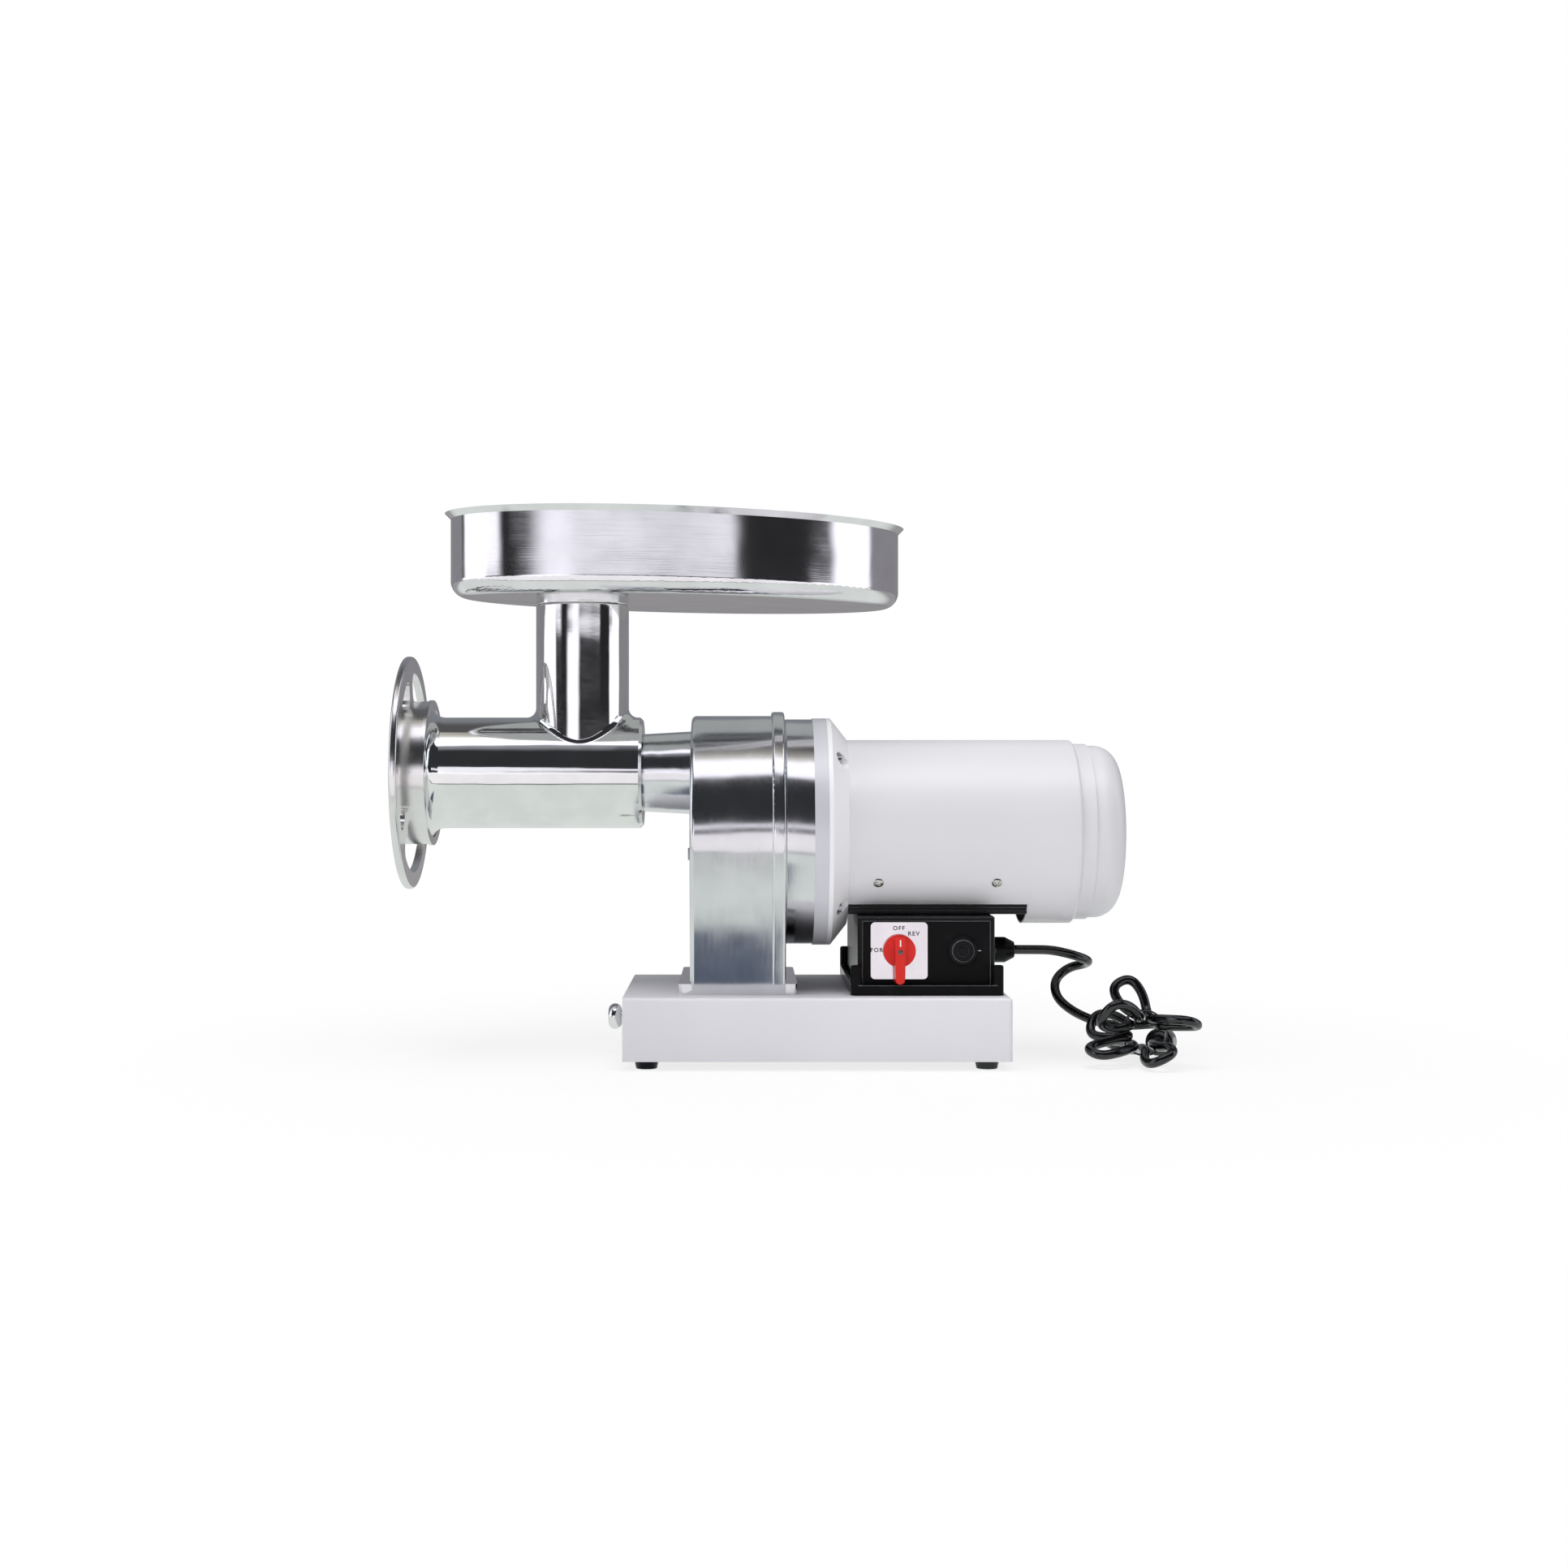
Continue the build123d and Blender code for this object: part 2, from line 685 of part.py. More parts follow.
with BuildPart() as tie_bolts:
    with BuildSketch(across(bell_floor, motor_height)):
        with PolarLocations(tie_circle_radius, 4, start_angle=45):
            Circle(tie_head_radius)
    extrude(amount=tie_head_height)
    with BuildSketch(across(bell_floor, motor_height)):
        with PolarLocations(tie_circle_radius, 4, start_angle=45):
            Circle(tie_radius)
    extrude(amount=housing_rear - tie_grip - bell_floor)
write(tie_bolts, "tie_bolts")

# Motor shroud: a rolled sheet, cut flat below where it stands on the foot plate
cap_bore = cap_radius + seat_gap
with BuildPart() as motor_shroud:
    bar(across(bell_rear, motor_height), shroud_radius, shroud_length, bore=shroud_bore)
    bar(across(shroud_rear, motor_height), shroud_radius, -shroud_edge, bore=cap_bore)
    rear_rim = motor_shroud.edges().filter_by(GeomType.CIRCLE).group_by(Axis.X)[-1].sort_by(SortBy.RADIUS)[-1]
    fillet(rear_rim, min(shroud_edge, shroud_radius - cap_bore) * 0.9)
    block(across(bell_rear, plate_top - shroud_radius / 2), 2 * shroud_radius, shroud_radius,
          shroud_cut_length, mode=Mode.SUBTRACT)
write(motor_shroud, "motor_shroud")

# End cap: a drawn cup with a stepped rim and cooling slots round its bearing seat
cap_start = shroud_rear - cap_overlap
cap_step_start = shroud_rear + cap_seam
cap_inner_rear = cap_rear - cap_wall
rear_bearing_start = cap_inner_rear - end_bearing_length
with BuildPart() as motor_end_cap:
    bar(across(cap_start, motor_height), cap_radius, cap_step_start - cap_start)
    bar(across(cap_step_start, motor_height), cap_radius - cap_step, cap_rear - cap_step_start)
    fillet(motor_end_cap.faces().sort_by(Axis.X)[-1].edges(), cap_edge)
    offset(amount=-cap_wall, openings=motor_end_cap.faces().sort_by(Axis.X)[0])
    bar(across(rear_bearing_start, motor_height), end_bearing_radius + bearing_boss / 2, end_bearing_length,
        bore=end_bearing_radius + running_gap)
    with BuildSketch(across(cap_inner_rear, motor_height)):
        with PolarLocations((vent_inner_radius + vent_outer_radius) / 2, vent_count):
            SlotOverall(vent_outer_radius - vent_inner_radius, vent_width)
    extrude(amount=cap_wall, mode=Mode.SUBTRACT)
write(motor_end_cap, "motor_end_cap")

# Foot plate between the switch box and the motor, grooved along both sides, with saddles for the stator
stator_x = bell_rear + stator_start
plate_start = bell_rear + seat_gap
foot_plate_length = shroud_cut_length - 2 * seat_gap
plate_x = plate_start + foot_plate_length / 2
with BuildPart() as motor_foot_plate:
    block(Plane((plate_x, 0, box_top)), foot_plate_length, plate_width, plate_thickness)
    chamfer(motor_foot_plate.edges().filter_by(Axis.X), plate_edge)
    groove_base = box_top + (plate_thickness - plate_groove_height) / 2
    for groove_y in (-plate_width / 2, plate_width / 2):
        block(Plane((plate_x, groove_y, groove_base)), foot_plate_length, 2 * plate_groove_depth,
              plate_groove_height, mode=Mode.SUBTRACT)
    for saddle_x in (stator_x + saddle_length, stator_x + stator_length - saddle_length):
        block(Plane((saddle_x, 0, plate_top)), saddle_length, saddle_width, shroud_drop / 3)
    bar(across(stator_x, motor_height), stator_radius + seat_gap, stator_length, mode=Mode.SUBTRACT)
write(motor_foot_plate, "motor_foot_plate")

with BuildPart() as stator_core:
    bar(across(stator_x, motor_height), stator_radius, stator_length, bore=stator_bore)
write(stator_core, "stator_core")

with BuildPart() as stator_windings:
    for winding_x in (stator_x - winding_length, stator_x + stator_length):
        bar(across(winding_x, motor_height), winding_outer_radius, winding_length, bore=winding_inner_radius)
write(stator_windings, "stator_windings")

with BuildPart() as rotor_core:
    bar(across(stator_x, motor_height), stator_bore - air_gap, stator_length, bore=motor_shaft_radius)
write(rotor_core, "rotor_core")

shaft_step = fine_start + fine_face + pinion_shaft_end
with BuildPart() as motor_shaft:
    bar(across(fine_start - pinion_shaft_end, motor_height), pinion_shaft_radius,
        fine_face + 2 * pinion_shaft_end)
    bar(across(shaft_step, motor_height), motor_shaft_radius, cap_inner_rear - slide_gap - shaft_step)
write(motor_shaft, "motor_shaft")

fan_x = shroud_rear - fan_offset
with BuildPart() as cooling_fan:
    bar(across(fan_x, motor_height), fan_radius, fan_disc, bore=motor_shaft_radius)
    bar(across(fan_x, motor_height), fan_hub_radius, fan_disc + fan_blade_height, bore=motor_shaft_radius)
    with BuildSketch(across(fan_x + fan_disc, motor_height)):
        with PolarLocations((fan_hub_radius + fan_radius) / 2 - fan_blade_inset, fan_blade_count):
            Rectangle(fan_radius - fan_hub_radius - fan_blade_inset, fan_blade_thickness)
    extrude(amount=fan_blade_height)
write(cooling_fan, "cooling_fan")

with BuildPart() as motor_bearings:
    for bearing_x in (bell_rear - end_bearing_length, rear_bearing_start):
        bar(across(bearing_x, motor_height), end_bearing_radius, end_bearing_length,
            bore=motor_shaft_radius + running_gap)
write(motor_bearings, "motor_bearings")

# Gear train: each pair has a tooth of one wheel in a gap of the other on the line of centres
fine_angle = atan2(lay_rise, lay_y)
coarse_angle = atan2(head_height - lay_height, -lay_y)
with BuildPart() as motor_pinion:
    gear(across(fine_start, motor_height), motor_pinion_teeth, fine_module, fine_angle, fine_face,
         pinion_shaft_radius)
write(motor_pinion, "motor_pinion")

with BuildPart() as layshaft:
    bar(across(inner_front + seat_gap, lay_height, lay_y), layshaft_radius,
        housing_rear + layshaft_bearing_length - inner_front - 2 * seat_gap)
write(layshaft, "layshaft")

with BuildPart() as layshaft_gear:
    gear(across(fine_start, lay_height, lay_y), lay_gear_teeth, fine_module,
         fine_angle + pi + pi / lay_gear_teeth, fine_face, layshaft_radius)
write(layshaft_gear, "layshaft_gear")

with BuildPart() as layshaft_pinion:
    gear(across(coarse_start, lay_height, lay_y), lay_pinion_teeth, coarse_module, coarse_angle, coarse_face,
         layshaft_radius)
write(layshaft_pinion, "layshaft_pinion")

with BuildPart() as output_gear:
    gear(across(coarse_start, head_height), output_gear_teeth, coarse_module,
         coarse_angle + pi + pi / output_gear_teeth, coarse_face, output_shaft_radius)
write(output_gear, "output_gear")

drive_front = spigot_end + slide_gap
journal_start = coarse_start + coarse_face
journal_end = housing_rear + journal_bearing_length - seat_gap
with BuildPart() as drive_shaft:
    bar(across(drive_front, head_height), output_shaft_radius, journal_start - drive_front)
    bar(across(journal_start, head_height), output_journal_radius, journal_end - journal_start)
    block(across(drive_front, head_height), tang_side + 2 * bolt_gap, tang_side + 2 * bolt_gap,
          tang_length + end_play, mode=Mode.SUBTRACT)
write(drive_shaft, "drive_shaft")

with BuildPart() as gearbox_bearings:
    bar(across(gearbox_front, head_height), output_bearing_radius, output_bearing_length,
        bore=output_shaft_radius + running_gap)
    bar(across(housing_rear, head_height), journal_bearing_radius, journal_bearing_length,
        bore=output_journal_radius + running_gap)
    for bearing_x in (inner_front, housing_rear):
        bar(across(bearing_x, lay_height, lay_y), layshaft_bearing_radius, layshaft_bearing_length,
            bore=layshaft_radius + running_gap)
write(gearbox_bearings, "gearbox_bearings")

with BuildPart() as shaft_seal:
    bar(across(collar_floor, head_height), seal_radius, seal_length, bore=output_shaft_radius + running_gap)
write(shaft_seal, "shaft_seal")

# Grinder head: barrel with a feed throat, a spigot behind and a thread in front
flare_end = head_front + thread_length
with BuildPart() as grinder_head:
    with BuildSketch(along(head_height)) as head_section:
        with BuildLine():
            flare = TangentArc((flare_end + flare_length, barrel_radius), (flare_end, thread_radius),
                               tangent=(-1, 0))
            Polyline(flare @ 1, (head_front, thread_radius), (head_front, 0), (spigot_end, 0),
                     (spigot_end, spigot_radius), (head_rear, spigot_radius),
                     (head_rear, barrel_radius - barrel_rear_edge),
                     (head_rear - barrel_rear_edge, barrel_radius), flare @ 0)
        make_face()
    revolve(head_section.sketch, axis=shaft_axis(head_height))
    bar(Plane((throat_x, 0, head_height)), throat_radius, throat_length)
    saddle_edges = grinder_head.edges().filter_by(
        lambda edge: edge.geom_type not in (GeomType.CIRCLE, GeomType.LINE))
    fillet(saddle_edges, throat_fillet)
    fillet(grinder_head.faces().sort_by(Axis.Z)[-1].edges(), barrel_rear_edge / 2)
    bar(across(head_front, head_height), barrel_bore, barrel_length - barrel_rear_wall, mode=Mode.SUBTRACT)
    bar(across(head_front, head_height), plate_radius + seat_gap, grind_plate_rear - head_front,
        mode=Mode.SUBTRACT)
    bar(across(spigot_end, head_height), shank_radius + running_gap, -spigot_length - barrel_rear_wall,
        mode=Mode.SUBTRACT)
    bar(Plane((throat_x, 0, head_height)), throat_bore, throat_length, mode=Mode.SUBTRACT)
write(grinder_head, "grinder_head")

# Feed screw: a core with one flight, made by turning its section along the barrel
screw_length = screw_rear - knife_rear
flight_radius = barrel_bore - screw_bore_gap
flight_half = pi * screw_flight / screw_pitch
root = screw_core_radius - flight_sink
with BuildSketch(across(knife_rear, head_height)) as screw_section:
    Circle(screw_core_radius)
    with BuildLine():
        low_line = Line((root * cos(flight_half), -root * sin(flight_half)),
                        (flight_radius * cos(flight_half), -flight_radius * sin(flight_half)))
        RadiusArc(low_line @ 1, (flight_radius * cos(flight_half), flight_radius * sin(flight_half)),
                  -flight_radius)
        high_line = Line((flight_radius * cos(flight_half), flight_radius * sin(flight_half)),
                         (root * cos(flight_half), root * sin(flight_half)))
        Line(high_line @ 1, low_line @ 0)
    make_face()
screw_turns = screw_length / screw_pitch
screw_solid = Solid.extrude_linear_with_rotation(
    screw_section.sketch.face(), (knife_rear, 0, head_height), (screw_length, 0, 0), 360 * screw_turns)
with BuildPart() as feed_screw:
    add(screw_solid)
    bar(across(screw_rear, head_height), shank_radius, spigot_end - screw_rear)
    block(across(spigot_end, head_height), tang_side, tang_side, tang_length)
    block(across(knife_rear, head_height), stud_side, stud_side, -knife_thickness)
    bar(across(knife_front, head_height), plate_centre_radius - running_gap,
        grind_plate_front + pin_setback - knife_front)
write(feed_screw, "feed_screw")

with BuildPart() as knife:
    with BuildSketch(across(knife_front, head_height)):
        Circle(knife_hub_radius)
        with PolarLocations(0, knife_blade_count):
            Polygon((0, -knife_blade_width / 2), (knife_radius, -knife_blade_width / 2),
                    (knife_radius - knife_tip_cut, 0), (knife_hub_radius, knife_blade_width / 2),
                    (0, knife_blade_width / 2), align=None)
        Rectangle(stud_side + bolt_gap, stud_side + bolt_gap, mode=Mode.SUBTRACT)
    extrude(amount=knife_thickness)
write(knife, "knife")

with BuildPart() as grinding_plate:
    with BuildSketch(across(grind_plate_front, head_height)):
        Circle(plate_radius)
        Circle(plate_centre_radius, mode=Mode.SUBTRACT)
        for row_radius, row_count in zip(plate_row_radii, plate_row_counts):
            with PolarLocations(row_radius, row_count):
                Circle(plate_hole_radius, mode=Mode.SUBTRACT)
    extrude(amount=grind_plate_thickness)
write(grinding_plate, "grinding_plate")

# Retaining ring: a threaded nut with a hand hoop on three spokes
ring_shoulder = grind_plate_front - seat_gap
ring_front = ring_shoulder - ring_lip
ring_rear = ring_shoulder + ring_skirt
bead_start = ring_rear - ring_bead_length
ring_thread = thread_radius + thread_gap
with BuildPart() as retaining_ring:
    with BuildSketch(across(ring_front, head_height)):
        Circle(hoop_radius)
    extrude(amount=ring_lip)
    fillet(retaining_ring.edges(), hoop_edge)
    with BuildSketch(across(ring_front, head_height)):
        Circle(hoop_inner_radius)
        Circle(ring_radius, mode=Mode.SUBTRACT)
        with PolarLocations(hoop_inner_radius / 2, spoke_count, start_angle=spoke_angle):
            Rectangle(hoop_radius, spoke_width, mode=Mode.SUBTRACT)
        fillet(vertices(), window_corner)
    extrude(amount=ring_lip, mode=Mode.SUBTRACT)
    turned(along(head_height), shaft_axis(head_height), (
        (ring_front, 0), (ring_front, ring_radius), (bead_start, ring_radius),
        (bead_start, ring_radius + ring_bead), (ring_rear, ring_radius + ring_bead), (ring_rear, 0)))
    bar(across(ring_shoulder, head_height), ring_thread, ring_skirt, mode=Mode.SUBTRACT)
    bar(across(ring_front, head_height), ring_bore, ring_lip, mode=Mode.SUBTRACT)
write(retaining_ring, "retaining_ring")

# Feed tray: an oval sheet pan, turned about the throat, with a rolled-out lip
tray_bottom = throat_top + neck_collar
tray_angle = radians(tray_turn)
tray_x = throat_x + tray_offset * cos(tray_angle)
tray_y = tray_offset * sin(tray_angle)
neck_radius = throat_bore - slide_gap
neck_bore = neck_radius - neck_wall


def tray_plane(height):
    return Plane((tray_x, tray_y, height), x_dir=(cos(tray_angle), sin(tray_angle), 0), z_dir=(0, 0, 1))


def oval_cup(part, inset, bottom, corner):
    """The solid inside one face of the tray: a rounded bottom, an upright wall and a lip that opens out."""
    wall_top = tray_bottom + tray_depth - tray_lip
    with BuildSketch(tray_plane(bottom)) as wall:
        Ellipse(tray_half_length - inset, tray_half_width - inset)
    extrude(wall.sketch, amount=wall_top - bottom, mode=Mode.ADD)
    fillet(part.faces().sort_by(Axis.Z)[0].edges(), corner)
    with BuildSketch(tray_plane(wall_top)) as lip_start:
        Ellipse(tray_half_length - inset, tray_half_width - inset)
    with BuildSketch(tray_plane(wall_top + tray_lip)) as lip_end:
        Ellipse(tray_half_length + tray_lip - inset, tray_half_width + tray_lip - inset)
    loft([lip_start.sketch.face(), lip_end.sketch.face()])


with BuildPart() as tray_hollow:
    oval_cup(tray_hollow, tray_sheet, tray_bottom + tray_sheet, tray_fillet - tray_sheet)
with BuildPart() as feed_tray:
    oval_cup(feed_tray, 0.0, tray_bottom, tray_fillet)
    add(tray_hollow.part, mode=Mode.SUBTRACT)
    bar(Plane((throat_x, 0, tray_bottom)), neck_bore, tray_depth / 2, mode=Mode.SUBTRACT)
write(feed_tray, "feed_tray")

with BuildPart() as tray_neck:
    bar(Plane((throat_x, 0, throat_top + seat_gap)), throat_radius, neck_collar - seat_gap, bore=neck_bore)
    outer_rims = tray_neck.edges().filter_by(GeomType.CIRCLE).group_by(SortBy.RADIUS)[-1]
    fillet(outer_rims.sort_by(Axis.Z)[0], neck_edge)
    bar(Plane((throat_x, 0, throat_top + seat_gap)), neck_radius, -neck_spigot_length, bore=neck_bore)
write(tray_neck, "tray_neck")

# Locking screw that holds the head in the collar, at the rear
lock_start = spigot_radius + seat_gap
lock_knob_start = collar_root_radius + lock_neck


def lock_plane(y):
    return Plane((lock_x, y, head_height), x_dir=(1, 0, 0), z_dir=(0, 1, 0))


with BuildPart() as lock_screw:
    bar(lock_plane(lock_start), lock_radius, lock_knob_start - lock_start)
    with BuildSketch(lock_plane(lock_knob_start)):
        Circle(lock_core_radius)
        with PolarLocations(lock_knob_radius - lock_lobe_radius, lock_lobes):
            Circle(lock_lobe_radius)
    extrude(amount=lock_knob_length)
write(lock_screw, "lock_screw")

# Switch box on a tray with corner posts
box_right = box_left + box_width
box_x = box_left + box_width / 2
box_y = box_front + box_depth / 2
with BuildPart() as switch_box_tray:
    tray_width = box_width + 2 * box_tray_margin_x
    tray_depth_y = box_depth + 2 * box_tray_margin_y
    block(Plane((box_x, box_y, base_top)), tray_width, tray_depth_y, box_tray_floor, corner=post_radius)
    with BuildSketch(Plane((box_x, box_y, base_top + box_tray_floor))):
        RectangleRounded(tray_width, tray_depth_y, post_radius)
        Rectangle(tray_width - 2 * box_tray_rail_width, tray_depth_y - 2 * box_tray_rail_width,
                  mode=Mode.SUBTRACT)
    extrude(amount=box_tray_rail)
    with BuildSketch(Plane((box_x, box_y, base_top))):
        with GridLocations(tray_width - 2 * post_radius, tray_depth_y - 2 * post_radius, 2, 2):
            Circle(post_radius)
    extrude(amount=post_height)
    post_tops = switch_box_tray.edges().filter_by(GeomType.CIRCLE).group_by(Axis.Z)[-1]
    fillet(post_tops, post_radius * 0.4)
write(switch_box_tray, "switch_box_tray")


def front_plane(x, y, height):
    """A plane facing the front, -Y, with its local x along +X."""
    return Plane((x, y, height), x_dir=(1, 0, 0), z_dir=(0, -1, 0))


box_mid = box_floor + box_height / 2
window_width = box_width - 2 * panel_border
window_height = box_height - 2 * panel_border
panel_back = box_front + box_wall + panel_recess
panel_front = panel_back - panel_thickness
with BuildPart() as switch_box:
    block(Plane((box_x, box_y, box_floor)), box_width, box_depth, box_height, corner=box_edge)
    chamfer(switch_box.faces().sort_by(Axis.Z)[-1].edges(), box_edge / 3)
    with BuildSketch(Plane((box_x, box_y + panel_recess / 2, box_floor + box_wall))):
        Rectangle(box_width - 2 * box_wall, box_depth - 2 * box_wall - panel_recess)
    extrude(amount=box_height - 2 * box_wall, mode=Mode.SUBTRACT)
    block(front_plane(box_x, panel_back, box_mid), window_width, window_height, box_wall + panel_recess,
          mode=Mode.SUBTRACT)
    bar(across(box_right, gland_height, gland_y), gland_thread_radius + bolt_gap, -box_wall,
        mode=Mode.SUBTRACT)
write(switch_box, "switch_box")

with BuildPart() as switch_panel:
    block(front_plane(box_x, panel_back, box_mid), window_width - 2 * seat_gap,
          window_height - 2 * seat_gap, panel_thickness)
    bar(front_plane(switch_x, panel_back, switch_height), switch_stem_radius + slide_gap, panel_thickness,
        mode=Mode.SUBTRACT)
    bar(front_plane(reset_x, panel_back, switch_height), reset_button_radius + slide_gap, panel_thickness,
        mode=Mode.SUBTRACT)
write(switch_panel, "switch_panel")

with BuildPart() as switch_plate:
    block(front_plane(switch_x, panel_front, switch_height), switch_plate_width, switch_plate_height,
          switch_plate_thickness, corner=switch_plate_corner)
    bar(front_plane(switch_x, panel_front, switch_height), switch_stem_radius + slide_gap,
        switch_plate_thickness, mode=Mode.SUBTRACT)
write(switch_plate, "switch_plate")

# Rotary switch: body behind the panel, stem and lever knob in front
knob_back = panel_front - switch_plate_thickness - slide_gap
with BuildPart() as switch_body:
    block(front_plane(switch_x, panel_back, switch_height), switch_body_width, switch_body_height,
          -switch_body_depth)
    bar(front_plane(switch_x, panel_back, switch_height), switch_stem_radius + running_gap,
        -switch_body_depth / 2, mode=Mode.SUBTRACT)
write(switch_body, "switch_body")

with BuildPart() as switch_knob:
    bar(front_plane(switch_x, knob_back, switch_height), knob_disc_radius, knob_disc_length)
    with BuildSketch(front_plane(switch_x, knob_back, switch_height)):
        with BuildLine():
            lever_left = Line((-knob_lever_width / 2, knob_lever_top - knob_lever_shoulder),
                              (-knob_lever_end, -knob_lever_length + knob_lever_end))
            lever_right = mirror(lever_left, about=Plane.YZ)
            ThreePointArc(lever_left @ 1, (0, -knob_lever_length), lever_right @ 1)
            ThreePointArc(lever_left @ 0, (0, knob_lever_top), lever_right @ 0)
        make_face()
    extrude(amount=knob_lever_height, taper=knob_lever_taper)
    fillet(switch_knob.faces().sort_by(Axis.Y)[0].edges(), knob_edge)
    bar(front_plane(switch_x, knob_back, switch_height), switch_stem_radius,
        knob_back - panel_back - switch_body_depth / 3)
write(switch_knob, "switch_knob")

# Resettable breaker: bezel and nut on the panel, body behind it, sprung button
nut_front = panel_front - reset_bezel_length - reset_nut_length
with BuildPart() as reset_bezel:
    bar(front_plane(reset_x, panel_front, switch_height), reset_bezel_radius, reset_bezel_length)
    fillet(reset_bezel.faces().sort_by(Axis.Y)[0].edges(), reset_bezel_length * 0.6)
    bar(front_plane(reset_x, panel_front, switch_height), reset_nut_radius,
        reset_bezel_length + reset_nut_length)
    bar(front_plane(reset_x, panel_front, switch_height), reset_button_radius + slide_gap,
        reset_bezel_length + reset_nut_length, mode=Mode.SUBTRACT)
write(reset_bezel, "reset_bezel")

with BuildPart() as breaker_body:
    block(front_plane(reset_x, panel_back, switch_height), switch_body_width / 2, switch_body_height,
          -breaker_depth)
    bar(front_plane(reset_x, panel_back, switch_height), reset_button_radius + slide_gap, -2 * reset_travel,
        mode=Mode.SUBTRACT)
write(breaker_body, "breaker_body")

with BuildPart() as reset_button:
    bar(front_plane(reset_x, panel_back, switch_height), reset_button_radius,
        panel_back - nut_front + reset_button_reach)
    fillet(reset_button.faces().sort_by(Axis.Y)[0].edges(), reset_button_edge)
write(reset_button, "reset_button")

with BuildPart() as start_capacitor:
    bar(across(box_x - capacitor_length / 2, box_floor + box_wall + capacitor_radius + seat_gap, capacitor_y),
        capacitor_radius, capacitor_length)
write(start_capacitor, "start_capacitor")

# Cord gland on the right side of the switch box
gland_nut_start = box_right + gland_flange_length
gland_dome_start = gland_nut_start + gland_nut_length
gland_end = gland_dome_start + gland_dome_length
with BuildPart() as cord_gland:
    bar(across(box_right, gland_height, gland_y), gland_thread_radius, -2 * box_wall)
    with BuildSketch(across(box_right, gland_height, gland_y)):
        RegularPolygon(gland_flange_radius, 6)
    extrude(amount=gland_flange_length)
    bar(across(gland_nut_start, gland_height, gland_y), gland_nut_radius, gland_nut_length)
    with BuildSketch(across(gland_dome_start, gland_height, gland_y)):
        Circle(gland_nut_radius)
    extrude(amount=gland_dome_length,
            taper=degrees(atan2(gland_nut_radius - gland_dome_radius, gland_dome_length)))
write(cord_gland, "cord_gland")

# Mains cord: points of the route, then round bends as large as the two runs beside each point allow
up = Vector(0, 0, 1)
right = Vector(1, 0, 0)
front = Vector(0, -1, 0)


def bearing(angle):
    """The direction in the hank's ring at an angle from upright, positive to the right."""
    return up * cos(radians(angle)) + right * sin(radians(angle))


def waist_point(strand, end):
    """Where a strand leaves the waist of the hank, at its front end (1) or its rear end (-1)."""
    ring = bearing(hank_first_angle + hank_step * strand) * hank_ring_radius
    return Vector(hank_centre) + ring + front * (end * hank_half_length)


def loop_points(index):
    """The corners of one loop, from the strand before it to the strand after it."""
    angle, lean, length, half_width, roll = hank_loops[index]
    end = 1 if index % 2 == 0 else -1
    start, finish = waist_point(index, end), waist_point(index + 1, end)
    middle = (start + finish) * 0.5
    outward = front * (end * cos(radians(lean))) + bearing(angle) * sin(radians(lean))
    across_loop = finish - start
    across_loop = (across_loop - outward * across_loop.dot(outward)).normalized()
    across_loop = across_loop * cos(radians(roll)) + outward.cross(across_loop) * sin(radians(roll))
    tip = middle + outward * length
    belly = middle + outward * (length / 2)
    tip_reach = across_loop * (half_width * hank_tip_share)
    belly_reach = across_loop * half_width
    return [start, belly - belly_reach, tip - tip_reach, tip + tip_reach, belly + belly_reach, finish]


def bend_radii(points):
    radii = []
    for before, point, after in zip(points, points[1:], points[2:]):
        run_in, run_out = point - before, after - point
        half_turn = radians(run_in.get_angle(run_out)) / 2
        radii.append(arc_share * min(run_in.length, run_out.length) / tan(half_turn))
    return radii


def least_self_gap(path, spacing):
    """The least gap between two stretches of a cord, measured on evenly spaced points."""
    count = int(path.length / spacing)
    spots = [path @ (i / count) for i in range(count + 1)]
    skip = int(6.4 * cord_radius / spacing) + 1
    least = min((spots[i] - spots[j]).length for i in range(count + 1) for j in range(i + skip, count + 1))
    return least - 2 * cord_radius


gland_mouth = Vector(gland_end, gland_y, gland_height)
lead_route = [gland_mouth, gland_mouth + right * lead_exit_run]
lead_route += [Vector(point) for point in lead_points]
hank_route = [waist_point(0, -1)]
for loop_index in range(len(hank_loops)):
    hank_route += loop_points(loop_index)
hank_route.append(waist_point(len(hank_loops), -1))
hank_route += [hank_route[-1] + Vector(step) for step in tail_steps]
cord_radii = bend_radii(lead_route + hank_route)
lead_bends = len(lead_route) - 1
cord_joint = (lead_route[-1] + hank_route[0]) * 0.5

with BuildPart() as cord_lead:
    with BuildLine() as lead_line:
        FilletPolyline(*lead_route, cord_joint, radius=cord_radii[:lead_bends])
    lead_path = lead_line.wire()
    with BuildSketch(Plane(lead_path @ 0, z_dir=lead_path % 0)) as cord_section:
        RegularPolygon(cord_radius, cord_sides)
    sweep()
write(cord_lead, "cord_lead")

with BuildPart() as cord_hank:
    with BuildLine() as hank_line:
        FilletPolyline(cord_joint, *hank_route, radius=cord_radii[lead_bends:])
    hank_path = hank_line.wire()
    with BuildSketch(Plane(hank_path @ 0, z_dir=hank_path % 0)):
        RegularPolygon(cord_radius, cord_sides)
    sweep()
write(cord_hank, "cord_hank")

cord_length = lead_path.length + hank_path.length
swept_share = (cord_lead.part.volume + cord_hank.part.volume) / (cord_section.sketch.area * cord_length)
print(f"cord length {cord_length:.1f} mm, volume {swept_share:.4f} of section times length")
print("bend radii", " ".join(f"{radius:.1f}" for radius in cord_radii))
print(f"least gap of the hank to itself {least_self_gap(hank_path, cord_radius / 2):.2f} mm")

